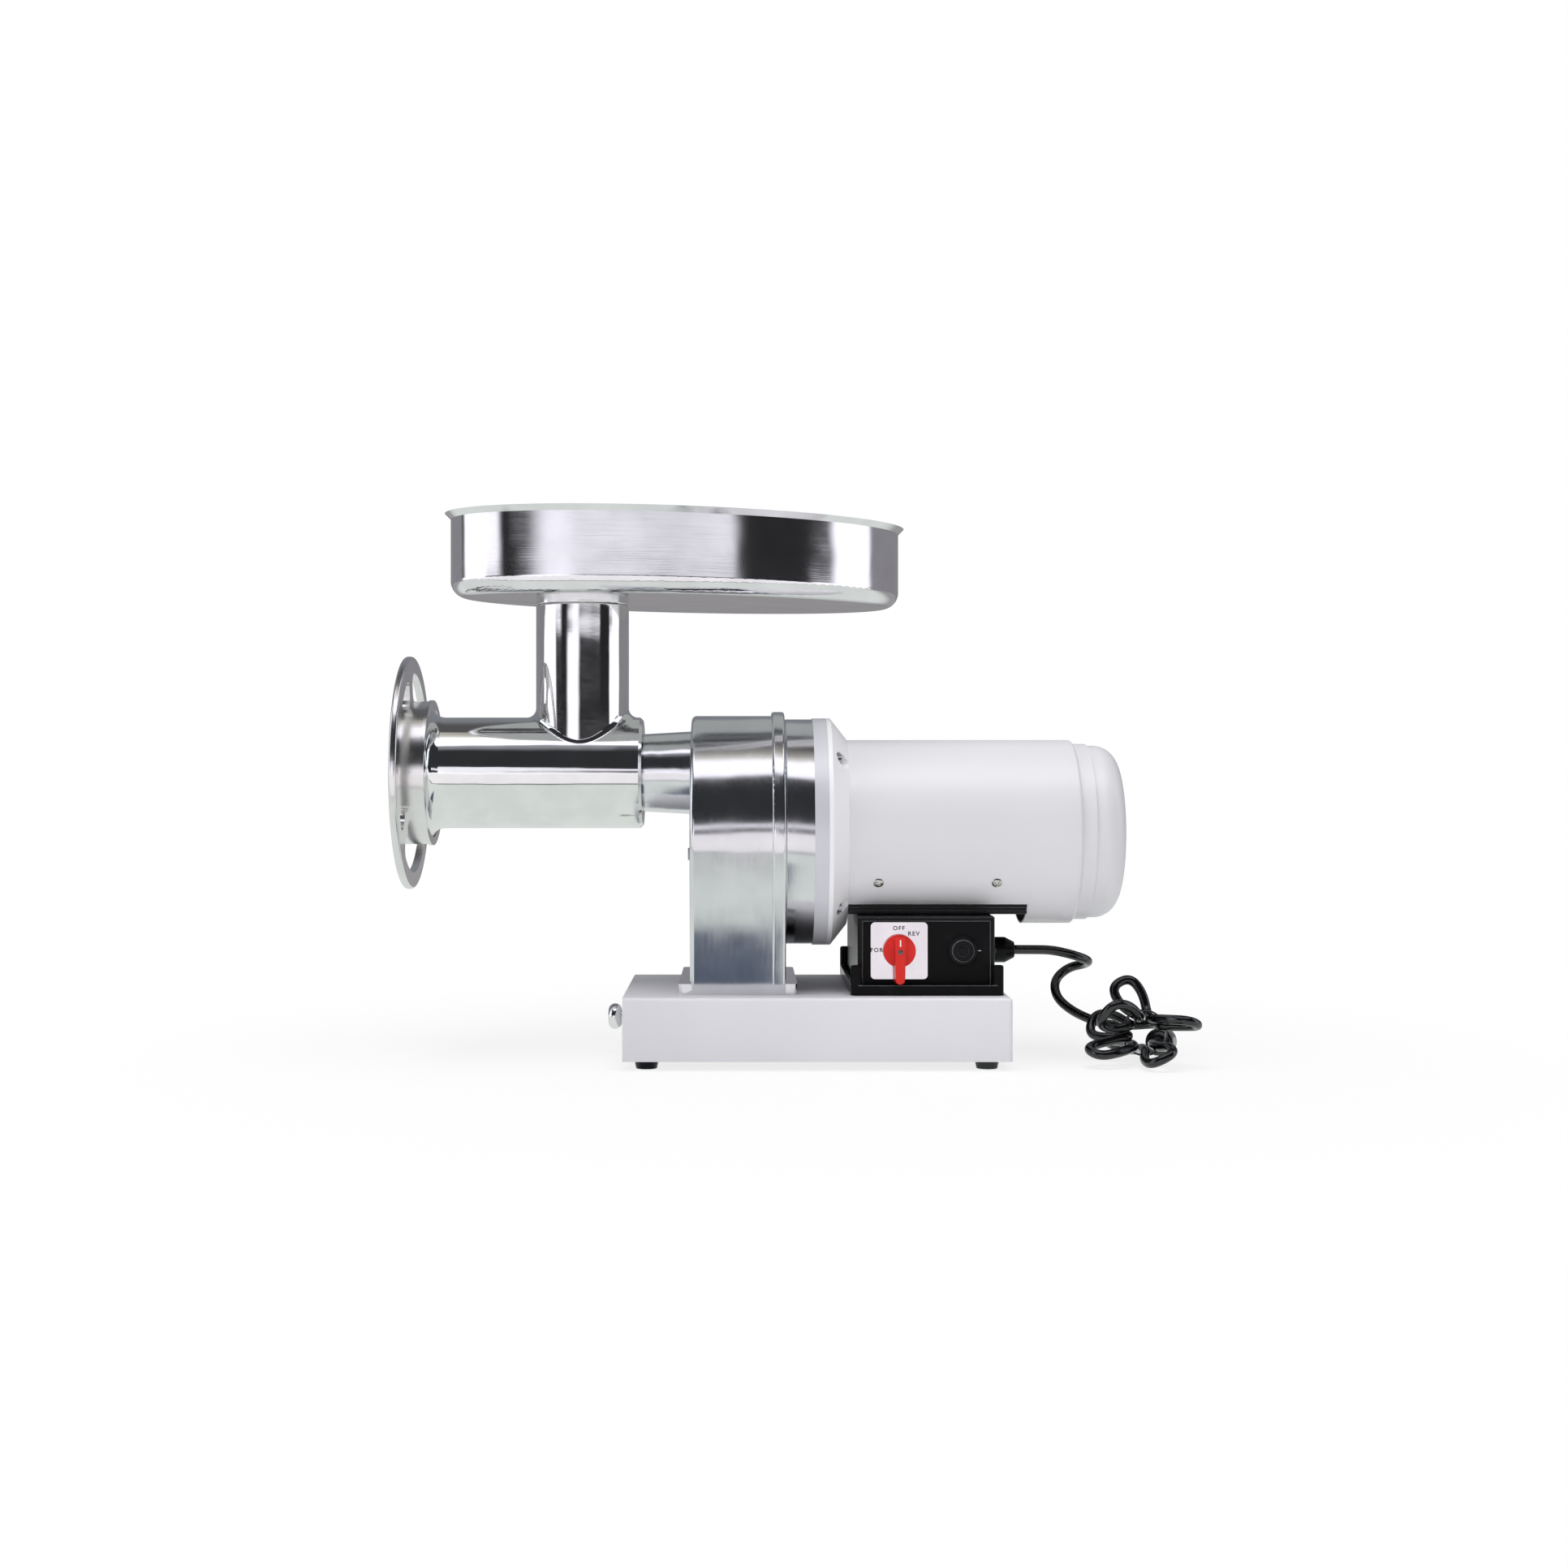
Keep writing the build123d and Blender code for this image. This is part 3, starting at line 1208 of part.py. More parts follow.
# Tie round the waist of the hank, and the plug at the end of the cord
with BuildPart() as cord_tie:
    tie_bore = hank_ring_radius + cord_radius + tie_gap
    tie_plane = Plane(Vector(hank_centre) - front * (tie_width / 2), x_dir=right, z_dir=front)
    bar(tie_plane, tie_bore + tie_thickness, tie_width, bore=tie_bore)
write(cord_tie, "cord_tie")

plug_axis = hank_path % 1
plug_side = plug_axis.cross(up).normalized()


def plug_plane(distance):
    """A plane across the plug, at a distance from the end of the cord."""
    return Plane(hank_path @ 1 + plug_axis * distance, x_dir=plug_side, z_dir=plug_axis)


plug_face = plug_relief_length + plug_body_length
with BuildPart() as mains_plug:
    with BuildSketch(plug_plane(0)):
        Circle(cord_radius + plug_sleeve)
    with BuildSketch(plug_plane(plug_relief_length)):
        Circle(plug_relief_radius)
    loft()
    bar(plug_plane(plug_relief_length), plug_body_radius, plug_body_length)
    fillet(mains_plug.edges().filter_by(GeomType.CIRCLE).filter_by(
        lambda edge: edge.radius > plug_body_radius - plug_sleeve), plug_body_edge)
write(mains_plug, "mains_plug")

with BuildPart() as plug_pins:
    with BuildSketch(plug_plane(plug_face)):
        with Locations((-blade_spacing / 2, blade_rise), (blade_spacing / 2, blade_rise)):
            Rectangle(blade_thickness, blade_width)
        with Locations((0, -earth_pin_drop)):
            Circle(earth_pin_radius)
    extrude(amount=blade_length)
write(plug_pins, "plug_pins")
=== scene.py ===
# %% [markdown]
# # An electric meat grinder, dressed for the camera
# The machine's solids are modelled elsewhere and arrive here as a fixed frame, in metres.
# This lesson gives them finishes, adds the flexible cord and the small trim, and lights the whole.

# %% Load the packed model
import math

import bmesh
import bpy
from mathutils import Matrix, Vector


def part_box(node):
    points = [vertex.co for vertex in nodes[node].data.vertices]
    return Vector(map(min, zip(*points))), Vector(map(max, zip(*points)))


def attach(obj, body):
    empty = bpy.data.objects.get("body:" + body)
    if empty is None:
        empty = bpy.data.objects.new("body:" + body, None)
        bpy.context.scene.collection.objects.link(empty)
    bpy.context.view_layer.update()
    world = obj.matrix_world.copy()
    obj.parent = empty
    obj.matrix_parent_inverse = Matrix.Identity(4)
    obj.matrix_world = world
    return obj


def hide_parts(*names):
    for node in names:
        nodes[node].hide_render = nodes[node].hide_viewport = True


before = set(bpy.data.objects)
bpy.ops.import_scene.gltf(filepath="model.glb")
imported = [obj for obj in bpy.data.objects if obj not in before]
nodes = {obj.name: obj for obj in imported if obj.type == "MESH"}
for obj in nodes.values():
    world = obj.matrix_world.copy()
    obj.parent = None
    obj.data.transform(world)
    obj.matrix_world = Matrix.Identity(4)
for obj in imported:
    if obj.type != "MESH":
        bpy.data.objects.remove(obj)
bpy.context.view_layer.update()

# %% [markdown]
# ## Camera
# The photograph was taken level, from straight in front, at about the height of the feed screw.
# A long lens could be guessed by eye, but the base's corners and the motor's axis fix it well:
# the focal length, the distance and the small shift below put those corners on the photograph's pixels.

# %% Camera at the photograph's viewpoint
PHOTO_PX = 1932
FOCAL_PX = 2650
PRINCIPAL_PX = (915, 955)
CAMERA_PLACE = Vector((-0.061, -1.855, 0.241))
SENSOR_MM = 36.0

camera_data = bpy.data.cameras.new("front_camera")
camera = bpy.data.objects.new("front_camera", camera_data)
bpy.context.scene.collection.objects.link(camera)
camera.location = CAMERA_PLACE
camera.rotation_euler = (math.radians(90), 0, 0)
camera_data.sensor_width = SENSOR_MM
camera_data.lens = SENSOR_MM * FOCAL_PX / PHOTO_PX
camera_data.shift_x = (PHOTO_PX / 2 - PRINCIPAL_PX[0]) / PHOTO_PX
camera_data.shift_y = (PRINCIPAL_PX[1] - PHOTO_PX / 2) / PHOTO_PX
bpy.context.scene.camera = camera
shifts = round(camera_data.shift_x, 4), round(camera_data.shift_y, 4)
print("lens", round(camera_data.lens, 2), "shift", shifts)

# %% [markdown]
# ## Shader maths as Python
# A material's node tree is easier to read as an expression than as a list of links.
# `Value` wraps one socket and turns each operator into a Math node, with the reflected forms,
# so that `1 - mask` works as well as `mask - 1`.

# %% A wrapped socket
def plug(tree, socket, value):
    """Link a wrapped socket, or set a plain value."""
    if isinstance(value, Value):
        tree.links.new(value.socket, socket)
    else:
        socket.default_value = value


class Value:
    def __init__(self, tree, socket):
        self.tree, self.socket = tree, socket

    def math(self, operation, first, second=None):
        node = self.tree.nodes.new("ShaderNodeMath")
        node.operation = operation
        plug(self.tree, node.inputs[0], first)
        if second is not None:
            plug(self.tree, node.inputs[1], second)
        return Value(self.tree, node.outputs[0])

    def __add__(self, other):
        return self.math("ADD", self, other)

    def __sub__(self, other):
        return self.math("SUBTRACT", self, other)

    def __rsub__(self, other):
        return self.math("SUBTRACT", other, self)

    def __mul__(self, other):
        return self.math("MULTIPLY", self, other)

    def __pow__(self, other):
        return self.math("POWER", self, other)

    def __abs__(self):
        return self.math("ABSOLUTE", self)

    __radd__ = __add__
    __rmul__ = __mul__

    def higher(self, other):
        return self.math("MAXIMUM", self, other)

    def step(self, start, end):
        """0 before start, 1 after end, with a smooth change between."""
        node = self.tree.nodes.new("ShaderNodeMapRange")
        node.interpolation_type = "SMOOTHSTEP"
        plug(self.tree, node.inputs["Value"], self)
        node.inputs["From Min"].default_value = start
        node.inputs["From Max"].default_value = end
        return Value(self.tree, node.outputs["Result"])


print("reflected operators:", sorted(name.strip("_") for name in vars(Value) if name.startswith("__r")))

# %% [markdown]
# `Tree` adds every other node: its settings first, then the values or links of its sockets.
# It also holds the few groups of nodes that many finishes share, such as noise in the part's own metres.
# A node group could hold them too, but a method shows its inputs by name.

# %% A node tree
class Tree:
    def __init__(self, tree):
        self.tree = tree
        tree.nodes.clear()

    def node(self, kind, settings=None, sockets=None, output=0):
        node = self.tree.nodes.new(kind)
        for name, value in (settings or {}).items():
            setattr(node, name, value)
        for name, value in (sockets or {}).items():
            plug(self.tree, node.inputs[name], value)
        return Value(self.tree, node.outputs[output]) if node.outputs else None

    def outputs(self, kind, names, sockets=None):
        """Several outputs of one node, in the order of their names."""
        node = self.node(kind, None, sockets).socket.node
        return [Value(self.tree, node.outputs[name]) for name in names]

    def axes(self, vector):
        return self.outputs("ShaderNodeSeparateXYZ", "XYZ", {"Vector": vector})

    def mix(self, share, first, second):
        """A colour between two colours."""
        return self.node("ShaderNodeMix", {"data_type": "RGBA"}, {0: share, 6: first, 7: second}, 2)

    def place(self):
        return self.node("ShaderNodeTexCoord", output="Object")

    def normal(self):
        return self.node("ShaderNodeNewGeometry", output="Normal")

    def noise(self, scale, detail=2.0, stretch=(1.0, 1.0, 1.0)):
        """Noise in cells per metre of the part. stretch packs the cells closer or wider on each axis."""
        spot = self.node("ShaderNodeVectorMath", {"operation": "MULTIPLY"}, {0: self.place(), 1: stretch})
        return self.node("ShaderNodeTexNoise", None, {"Vector": spot, "Scale": scale, "Detail": detail})

    def facing_down(self, start, end):
        """0 to 1 as the surface turns down, from one downward part of its normal to another."""
        upward = self.axes(self.normal())[2]
        return (upward * -1.0).step(start, end)

    def bump(self, height, strength, distance, normal=None):
        sockets = {"Height": height, "Strength": strength, "Distance": distance}
        if normal is not None:
            sockets["Normal"] = normal
        return self.node("ShaderNodeBump", None, sockets)

    def surface(self, **sockets):
        """A Principled surface as the material's output; the keys are socket names with _ for spaces."""
        named = {name.replace("_", " "): value for name, value in sockets.items()}
        shader = self.node("ShaderNodeBsdfPrincipled", None, named)
        self.node("ShaderNodeOutputMaterial", None, {"Surface": shader})


finish_names = []


def finish_tree(name):
    """A new material and its empty tree."""
    finish_names.append(name)
    material = bpy.data.materials.new(name)
    material.use_nodes = True
    return material, Tree(material.node_tree)


print("shared node groups:", [name for name in vars(Tree) if not name.startswith("_")])

# %% [markdown]
# ## Polished castings
# The grinder head, its ring and the gearbox are bare castings, buffed by hand.
# A buffed casting isn't a mirror: the surface rolls gently, so that reflected edges waver,
# and fine lines run the way the wheel went.
# An anisotropic shader could stretch the highlights, but noise also shows the lines close up.
# Low noise in the bump gives the roll, and stretched noise in roughness and bump gives the lines.
# The undersides of the tray and of the gearbox cover take painted shade: their colour darkens where they face
# down, for the dim things that they reflect.

# %% Buffed metal finishes
# Cells per metre of the swell, the wheel's lines and the blotches
SWELL_CELLS, LINE_CELLS, BLOTCH_CELLS = 26.0, 420.0, 34.0
BLOTCH_SHADE = 0.93
SMOOTHEST = 0.03


def shade(colour, share=1.0):
    """A colour with its alpha, darkened to a share of itself."""
    return (*[part * share for part in colour], 1)


def buffed(name, colour, roughness, roll, line_stretch, line_scale=1.0, patch=0.06, cut=0.02,
           underside_shade=1.0, underside_shade_from=(0.85, 0.97)):
    """A buffed metal: roll and cut are the heights of the swell and the lines, and painted shade darkens its
    undersides to the given share.
    """
    material, tree = finish_tree(name)
    swell = tree.noise(SWELL_CELLS, 1.0)
    lines = tree.noise(LINE_CELLS * line_scale, 2.0, line_stretch)
    blotch = tree.noise(BLOTCH_CELLS, 3.0)
    rough = roughness + (lines - 0.5) * (0.5 * roughness) + (blotch - 0.5) * patch
    tint = tree.mix(blotch.step(0.35, 0.7), shade(colour, BLOTCH_SHADE), shade(colour))
    # painted shade: the colour darkens where the surface faces down
    if underside_shade < 1.0:
        tint = tree.mix(tree.facing_down(*underside_shade_from), tint, shade(colour, underside_shade))
    height = swell * roll + lines * cut
    tree.surface(Base_Color=tint, Metallic=1.0, Roughness=rough.higher(SMOOTHEST),
                 Normal=tree.bump(height, 0.6, 0.002))
    return material


print("a buffed metal has", LINE_CELLS, "lines per metre across the wheel's way")

# %% Buffed metals of the grinder
# The way of the wheel: noise cells are long on the axis with the small number
ALONG_X, ALONG_Y, ALONG_Z, ROUND_Z = (0.05, 1, 1), (1, 0.05, 1), (1, 1, 0.05), (0.04, 0.04, 3.6)
CASTING = (0.82, 0.825, 0.84)
head_metal = buffed("buffed_head", (0.86, 0.865, 0.855), 0.07, 0.30, ALONG_X, patch=0.03, cut=0.004)
ring_metal = buffed("buffed_ring", (0.86, 0.85, 0.84), 0.20, 0.30, ALONG_X)
gearbox_metal = buffed("buffed_gearbox", CASTING, 0.15, 0.34, ALONG_Z, cut=0.012)
# the gearbox's metal with painted shade on the cover's underside
cover_metal = buffed("buffed_cover", CASTING, 0.15, 0.34, ALONG_Z, cut=0.012,
                     underside_shade=0.3, underside_shade_from=(0.62, 0.85))
# painted shade on the tray's underside too
tray_metal = buffed("polished_sheet", (0.86, 0.86, 0.87), 0.10, 0.22, ROUND_Z, patch=0.02, cut=0.008,
                    underside_shade=0.6)
tool_metal = buffed("ground_steel", (0.58, 0.59, 0.60), 0.24, 0.1, ALONG_Y)
machine_metal = buffed("machined_steel", (0.52, 0.52, 0.53), 0.30, 0.05, ALONG_X)
chrome_metal = buffed("chrome_plate", (0.86, 0.86, 0.87), 0.06, 0.05, ALONG_X, patch=0.02)
plate_metal = buffed("brushed_plate", (0.95, 0.91, 0.95), 0.17, 0.0, ALONG_Z, 3.0, 0.02, 0.01)
zinc_metal = buffed("zinc_screws", (0.74, 0.74, 0.71), 0.22, 0.05, ALONG_X, patch=0.04)
pin_metal = buffed("plated_pins", (0.80, 0.66, 0.38), 0.2, 0.0, ALONG_Y)
print("buffed metals:", len(finish_names))

# %% [markdown]
# ## Paint, plastic and rubber
# The base, the motor and the drawer carry a thick white paint with a faint orange-peel skin,
# and the motor's end bell takes a lighter copy of the shroud's white, as painted light on its cone, which
# faces the lamp on the left.
# Paint could be one flat colour, but a slow cloud in the tint and a fine bump keep large faces alive.

# %% Paint finishes
CLOUD_CELLS, CLOUD_SHADE = 9.0, 0.975


def painted(name, colour, roughness, coat, peel_scale, peel, metallic=0.0):
    """A sprayed paint: peel is the strength of its orange-peel bump, coat the weight of its clear layer."""
    material, tree = finish_tree(name)
    peel_noise = tree.noise(peel_scale, 2.0)
    cloud = tree.noise(CLOUD_CELLS, 2.0)
    tint = tree.mix(cloud.step(0.3, 0.7), shade(colour, CLOUD_SHADE), shade(colour))
    tree.surface(Base_Color=tint, Metallic=metallic, Roughness=roughness + (peel_noise - 0.5) * 0.08,
                 Coat_Weight=coat, Coat_Roughness=0.12, Normal=tree.bump(peel_noise, peel, 0.0004))
    return material


motor_paint = painted("white_motor_paint", (0.79, 0.785, 0.82), 0.36, 0.2, 620.0, 0.05)
base_paint = painted("white_base_paint", (0.79, 0.785, 0.83), 0.48, 0.05, 900.0, 0.10)
# painted light: the bell's white is lighter than the shroud's for the light that falls on its cone
lit_bell_paint = painted("white_bell_paint", (0.94, 0.935, 0.965), 0.36, 0.2, 620.0, 0.05)
adapter_paint = painted("grey_casting_paint", (0.70, 0.705, 0.76), 0.38, 0.1, 520.0, 0.10, 0.2)
print("paints made, finishes so far:", len(finish_names))

# %% [markdown]
# The switch box is moulded black plastic with a fine spark-eroded grain, the knob is glossy red,
# and the cord's sleeve is soft vinyl, smoother than the rubber feet.
# A moulding's edges are rounded by a fraction of a millimetre and catch the light.
# Real fillets that small would add many faces, so a Bevel node turns the normals there instead,
# and where it differs from the flat normal a paler colour is painted on as a highlight.

# %% Plastic and rubber finishes
WEAR_CELLS = 45.0


def moulded(name, colour, roughness, grain_scale, grain, shine=0.5, edge=0.0,
            edge_highlight_colour=(0.28, 0.28, 0.30)):
    """A moulded plastic: edge is the radius in metres of its rounded edges, which get a painted highlight in
    the edge colour.
    """
    material, tree = finish_tree(name)
    skin = tree.noise(grain_scale, 3.0)
    wear = tree.noise(WEAR_CELLS, 2.0)
    worn = [min(1.0, part * 1.25 + 0.006) for part in colour]
    tint = tree.mix(wear.step(0.5, 0.9), shade(colour), shade(worn))
    rounded = None
    if edge > 0.0:
        rounded = tree.node("ShaderNodeBevel", {"samples": 6}, {"Radius": edge})
        same = tree.node("ShaderNodeVectorMath", {"operation": "DOT_PRODUCT"},
                         {0: rounded, 1: tree.normal()}, "Value")
        # painted highlight: a paler colour along the rounded edges
        tint = tree.mix((1 - same).step(0.02, 0.16), tint, shade(edge_highlight_colour))
    tree.surface(Base_Color=tint, Roughness=roughness + (wear - 0.5) * 0.06,
                 Specular_IOR_Level=shine, Normal=tree.bump(skin, grain, 0.0003, rounded))
    return material


box_plastic = moulded("black_box_plastic", (0.006, 0.006, 0.007), 0.26, 1500.0, 0.08, 0.15, 0.0009)
panel_plastic = moulded("black_panel_plastic", (0.006, 0.006, 0.007), 0.40, 2200.0, 0.08, 0.09, 0.0006)
tray_plastic = moulded("black_tray_plastic", (0.005, 0.005, 0.006), 0.20, 1200.0, 0.05, 0.08, 0.0009)
rail_paint = moulded("black_rail_paint", (0.010, 0.010, 0.012), 0.28, 900.0, 0.03, 0.2, 0.0006)
fan_plastic = moulded("grey_fan_plastic", (0.06, 0.06, 0.06), 0.45, 900.0, 0.1)
knob_plastic = moulded("red_knob_plastic", (0.70, 0.022, 0.016), 0.30, 700.0, 0.03, 0.25, 0.0006,
                       (0.86, 0.09, 0.07))
foot_rubber = moulded("black_foot_rubber", (0.015, 0.015, 0.016), 0.45, 1300.0, 0.15, 0.5)
cord_vinyl = moulded("black_cord_vinyl", (0.002, 0.002, 0.003), 0.16, 260.0, 0.01, 0.8)
print("plastics and rubber made, finishes so far:", len(finish_names))

# %% [markdown]
# ## Inside the motor
# The stator and the rotor are stacks of punched sheets, and the windings are varnished copper wire.
# Modelling each sheet would cost thousands of faces for pieces that are hardly seen,
# so bands of noise across the shaft stand for sheets and turns of wire.

# %% Inner motor finishes
def layered(name, colour, dark, pitch, roughness, metallic):
    """Stacked sheets or wound wire: bands across the shaft."""
    material, tree = finish_tree(name)
    bands = tree.noise(1.0, 2.0, (pitch, pitch * 0.04, pitch * 0.04))
    tree.surface(Base_Color=tree.mix(bands.step(0.35, 0.65), shade(dark), shade(colour)), Metallic=metallic,
                 Roughness=roughness + (bands - 0.5) * 0.2, Normal=tree.bump(bands, 0.5, 0.0005))
    return material


lamination = layered("stacked_laminations", (0.26, 0.26, 0.27), (0.12, 0.12, 0.12), 1900.0, 0.45, 0.9)
winding = layered("varnished_winding", (0.60, 0.25, 0.10), (0.30, 0.10, 0.04), 900.0, 0.3, 0.8)
print("finishes for the CAD nodes:", len(finish_names))

# %% [markdown]
# ## Finishes on the CAD nodes
# Each CAD node keeps its exact mesh and takes one finish.
# The packed meshes are flat-shaded, so a small geometry-nodes modifier welds them and shades them smooth
# up to a crease angle, and a weighted-normal modifier keeps the flat faces flat beside their fillets.

# %% Smooth shading for the CAD meshes
CREASE_DEG = 27.0
WELD_DISTANCE = 2e-6


def crease_group():
    """Geometry nodes that weld a mesh and keep only its sharper edges as creases."""
    group = bpy.data.node_groups.new("weld_and_crease", "GeometryNodeTree")
    group.interface.new_socket("Geometry", in_out="INPUT", socket_type="NodeSocketGeometry")
    group.interface.new_socket("Geometry", in_out="OUTPUT", socket_type="NodeSocketGeometry")
    start, end = group.nodes.new("NodeGroupInput"), group.nodes.new("NodeGroupOutput")
    weld = group.nodes.new("GeometryNodeMergeByDistance")
    weld.inputs["Distance"].default_value = WELD_DISTANCE
    smooth = group.nodes.new("GeometryNodeSetShadeSmooth")
    smooth.domain = "FACE"
    crease = group.nodes.new("GeometryNodeSetShadeSmooth")
    crease.domain = "EDGE"
    angle = group.nodes.new("GeometryNodeInputMeshEdgeAngle")
    gentle = group.nodes.new("FunctionNodeCompare")
    gentle.operation = "LESS_THAN"
    gentle.inputs[1].default_value = math.radians(CREASE_DEG)
    link = group.links.new
    link(start.outputs[0], weld.inputs["Geometry"])
    link(weld.outputs["Geometry"], smooth.inputs["Geometry"])
    link(smooth.outputs["Geometry"], crease.inputs["Geometry"])
    link(angle.outputs["Unsigned Angle"], gentle.inputs[0])
    link(gentle.outputs["Result"], crease.inputs["Shade Smooth"])
    link(crease.outputs["Geometry"], end.inputs[0])
    return group


crease = crease_group()
for node in nodes.values():
    node.modifiers.new("weld_and_crease", "NODES").node_group = crease
    weighted = node.modifiers.new("flat_faces", "WEIGHTED_NORMAL")
    weighted.keep_sharp = True
print("smooth shading on", len(nodes), "nodes")

# %% Which finish goes on which node
FINISHES = (
    (base_paint, ("base_shell", "drawer")),
    (motor_paint, ("motor_shroud", "motor_end_cap")),
    (lit_bell_paint, ("motor_end_bell",)),
    (adapter_paint, ("motor_adapter",)),
    (head_metal, ("grinder_head",)),
    (ring_metal, ("retaining_ring",)),
    (gearbox_metal, ("gearbox_housing",)),
    (cover_metal, ("gearbox_cover",)),
    (tray_metal, ("feed_tray", "tray_neck")),
    (plate_metal, ("switch_plate",)),
    (tool_metal, ("grinding_plate", "knife", "feed_screw")),
    (chrome_metal, ("drawer_knob", "lock_screw")),
    (machine_metal, ("pedestal_bolts", "gearbox_plug", "tie_bolts", "motor_bearings", "gearbox_bearings",
                     "drive_shaft", "output_gear", "layshaft", "layshaft_gear", "layshaft_pinion",
                     "motor_shaft", "motor_pinion")),
    (pin_metal, ("plug_pins",)),
    (lamination, ("stator_core", "rotor_core")),
    (winding, ("stator_windings",)),
    (rail_paint, ("motor_foot_plate",)),
    (box_plastic, ("switch_box", "switch_body", "breaker_body", "start_capacitor", "reset_bezel",
                   "reset_button", "cord_gland", "cord_tie")),
    (panel_plastic, ("switch_panel",)),
    (tray_plastic, ("switch_box_tray",)),
    (fan_plastic, ("cooling_fan",)),
    (knob_plastic, ("switch_knob",)),
    (foot_rubber, ("rubber_feet", "shaft_seal")),
    (cord_vinyl, ("mains_plug", "cord_lead", "cord_hank")),
)
print("finishes in use on the nodes:", len(FINISHES))

# %% Put the finishes on
for finish, names in FINISHES:
    for name in names:
        mesh = nodes[name].data
        mesh.materials.clear()
        mesh.materials.append(finish)
covered = {name for _, names in FINISHES for name in names}
print("nodes without a finish:", sorted(set(nodes) - covered))

# %% [markdown]
# ## Mains cord
# The lead leaves the gland, drops behind the switch box's corner and runs to a tied bundle.
# It could be a swept mesh, but one NURBS curve carries the whole cord and stays easy to bend.
# Its control points are the route that the solids follow:
# the first part listed point by point and the bundle's loops from one formula.

# %% Cord route
CORD_RADIUS = 0.004
UP, RIGHT, FRONT = Vector((0, 0, 1)), Vector((1, 0, 0)), Vector((0, -1, 0))
GLAND_MOUTH = Vector((0.1728, 0, 0.0905))
LEAD_POINTS = (
    (0.1888, 0, 0.0905), (0.206, 0.0005, 0.0902), (0.224, 0.002, 0.086), (0.240, 0.012, 0.080),
    (0.240, 0.032, 0.0755), (0.226, 0.042, 0.0715), (0.213, 0.036, 0.061), (0.212, 0.021, 0.048),
    (0.222, 0.004, 0.038), (0.238, -0.013, 0.031), (0.254, -0.026, 0.028), (0.271, -0.033, 0.029))
HANK_CENTRE = Vector((0.274, -0.060, 0.026))
HANK_RING, HANK_HALF_LENGTH = 0.0136, 0.010
HANK_FIRST_ANGLE, HANK_STEP, HANK_TIP_SHARE = 61.0, -40.0, 0.8
# Each loop: bearing from upright, lean from the waist, length, half width, roll
HANK_LOOPS = (
    (86, 50, 0.036, 0.012, 36), (-30, 70, 0.034, 0.0115, 0), (-72, 58, 0.036, 0.014, -8),
    (-86, 58, 0.032, 0.012, 30), (-100, 62, 0.042, 0.012, 62), (-125, 12, 0.056, 0.012, 0),
    (150, 5, 0.042, 0.0125, 8))
TAIL_STEPS = (Vector((0.004, 0.014, -0.002)), Vector((0.009, 0.028, -0.003)))


def bearing(angle):
    """The direction in the hank's ring at an angle from upright, positive to the right."""
    return UP * math.cos(math.radians(angle)) + RIGHT * math.sin(math.radians(angle))


def waist_point(strand, end):
    """Where a strand enters the tie: end is 1 at the front and -1 at the back."""
    ring = bearing(HANK_FIRST_ANGLE + HANK_STEP * strand) * HANK_RING
    return HANK_CENTRE + ring + FRONT * (end * HANK_HALF_LENGTH)


def loop_points(index):
    """Six control points of one loop, which leaves the waist and comes back beside its start."""
    angle, lean, length, half_width, roll = HANK_LOOPS[index]
    end = 1 if index % 2 == 0 else -1
    start, finish = waist_point(index, end), waist_point(index + 1, end)
    middle = (start + finish) / 2
    outward = FRONT * (end * math.cos(math.radians(lean))) + bearing(angle) * math.sin(math.radians(lean))
    across = finish - start
    across = (across - outward * across.dot(outward)).normalized()
    across = across * math.cos(math.radians(roll)) + outward.cross(across) * math.sin(math.radians(roll))
    tip, belly = middle + outward * length, middle + outward * (length / 2)
    tip_reach, belly_reach = across * (half_width * HANK_TIP_SHARE), across * half_width
    return [start, belly - belly_reach, tip - tip_reach, tip + tip_reach, belly + belly_reach, finish]


route = [GLAND_MOUTH] + [Vector(point) for point in LEAD_POINTS] + [waist_point(0, -1)]
for index in range(len(HANK_LOOPS)):
    route += loop_points(index)
route.append(waist_point(len(HANK_LOOPS), -1))
route += [route[-1] + step for step in TAIL_STEPS]
print("cord route points:", len(route))

# %% Cord curve
cord_curve = bpy.data.curves.new("mains_cord", "CURVE")
cord_curve.dimensions = "3D"
cord_curve.bevel_depth = CORD_RADIUS
cord_curve.bevel_resolution = 6
cord_curve.resolution_u = 10
spline = cord_curve.splines.new("NURBS")
spline.points.add(len(route) - 1)
for point, spot in zip(spline.points, route):
    point.co = (*spot, 1.0)
spline.order_u = 3
spline.use_endpoint_u = True
cord_curve.materials.append(cord_vinyl)
mains_cord = bpy.data.objects.new("mains_cord", cord_curve)
bpy.context.scene.collection.objects.link(mains_cord)
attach(mains_cord, "frame")
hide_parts("cord_lead", "cord_hank")

# %% [markdown]
# ## Small trim
# Screws, marks and letters are too small for the solids but show from a step away.
# Images could carry them, but a mesh keeps its edge at any distance and goes into the export.
# Each is a short mesh made from a few rings or a flat outline, set on the face that carries it.

# %% Mesh helpers
def piece(name, mesh_maker, finish, body):
    """A new mesh piece that rides on a CAD body."""
    mesh = bpy.data.meshes.new(name)
    shape = bmesh.new()
    mesh_maker(shape)
    bmesh.ops.remove_doubles(shape, verts=shape.verts, dist=1e-7)
    bmesh.ops.recalc_face_normals(shape, faces=shape.faces)
    shape.to_mesh(mesh)
    shape.free()
    mesh.materials.append(finish)
    thing = bpy.data.objects.new(name, mesh)
    bpy.context.scene.collection.objects.link(thing)
    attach(thing, body)


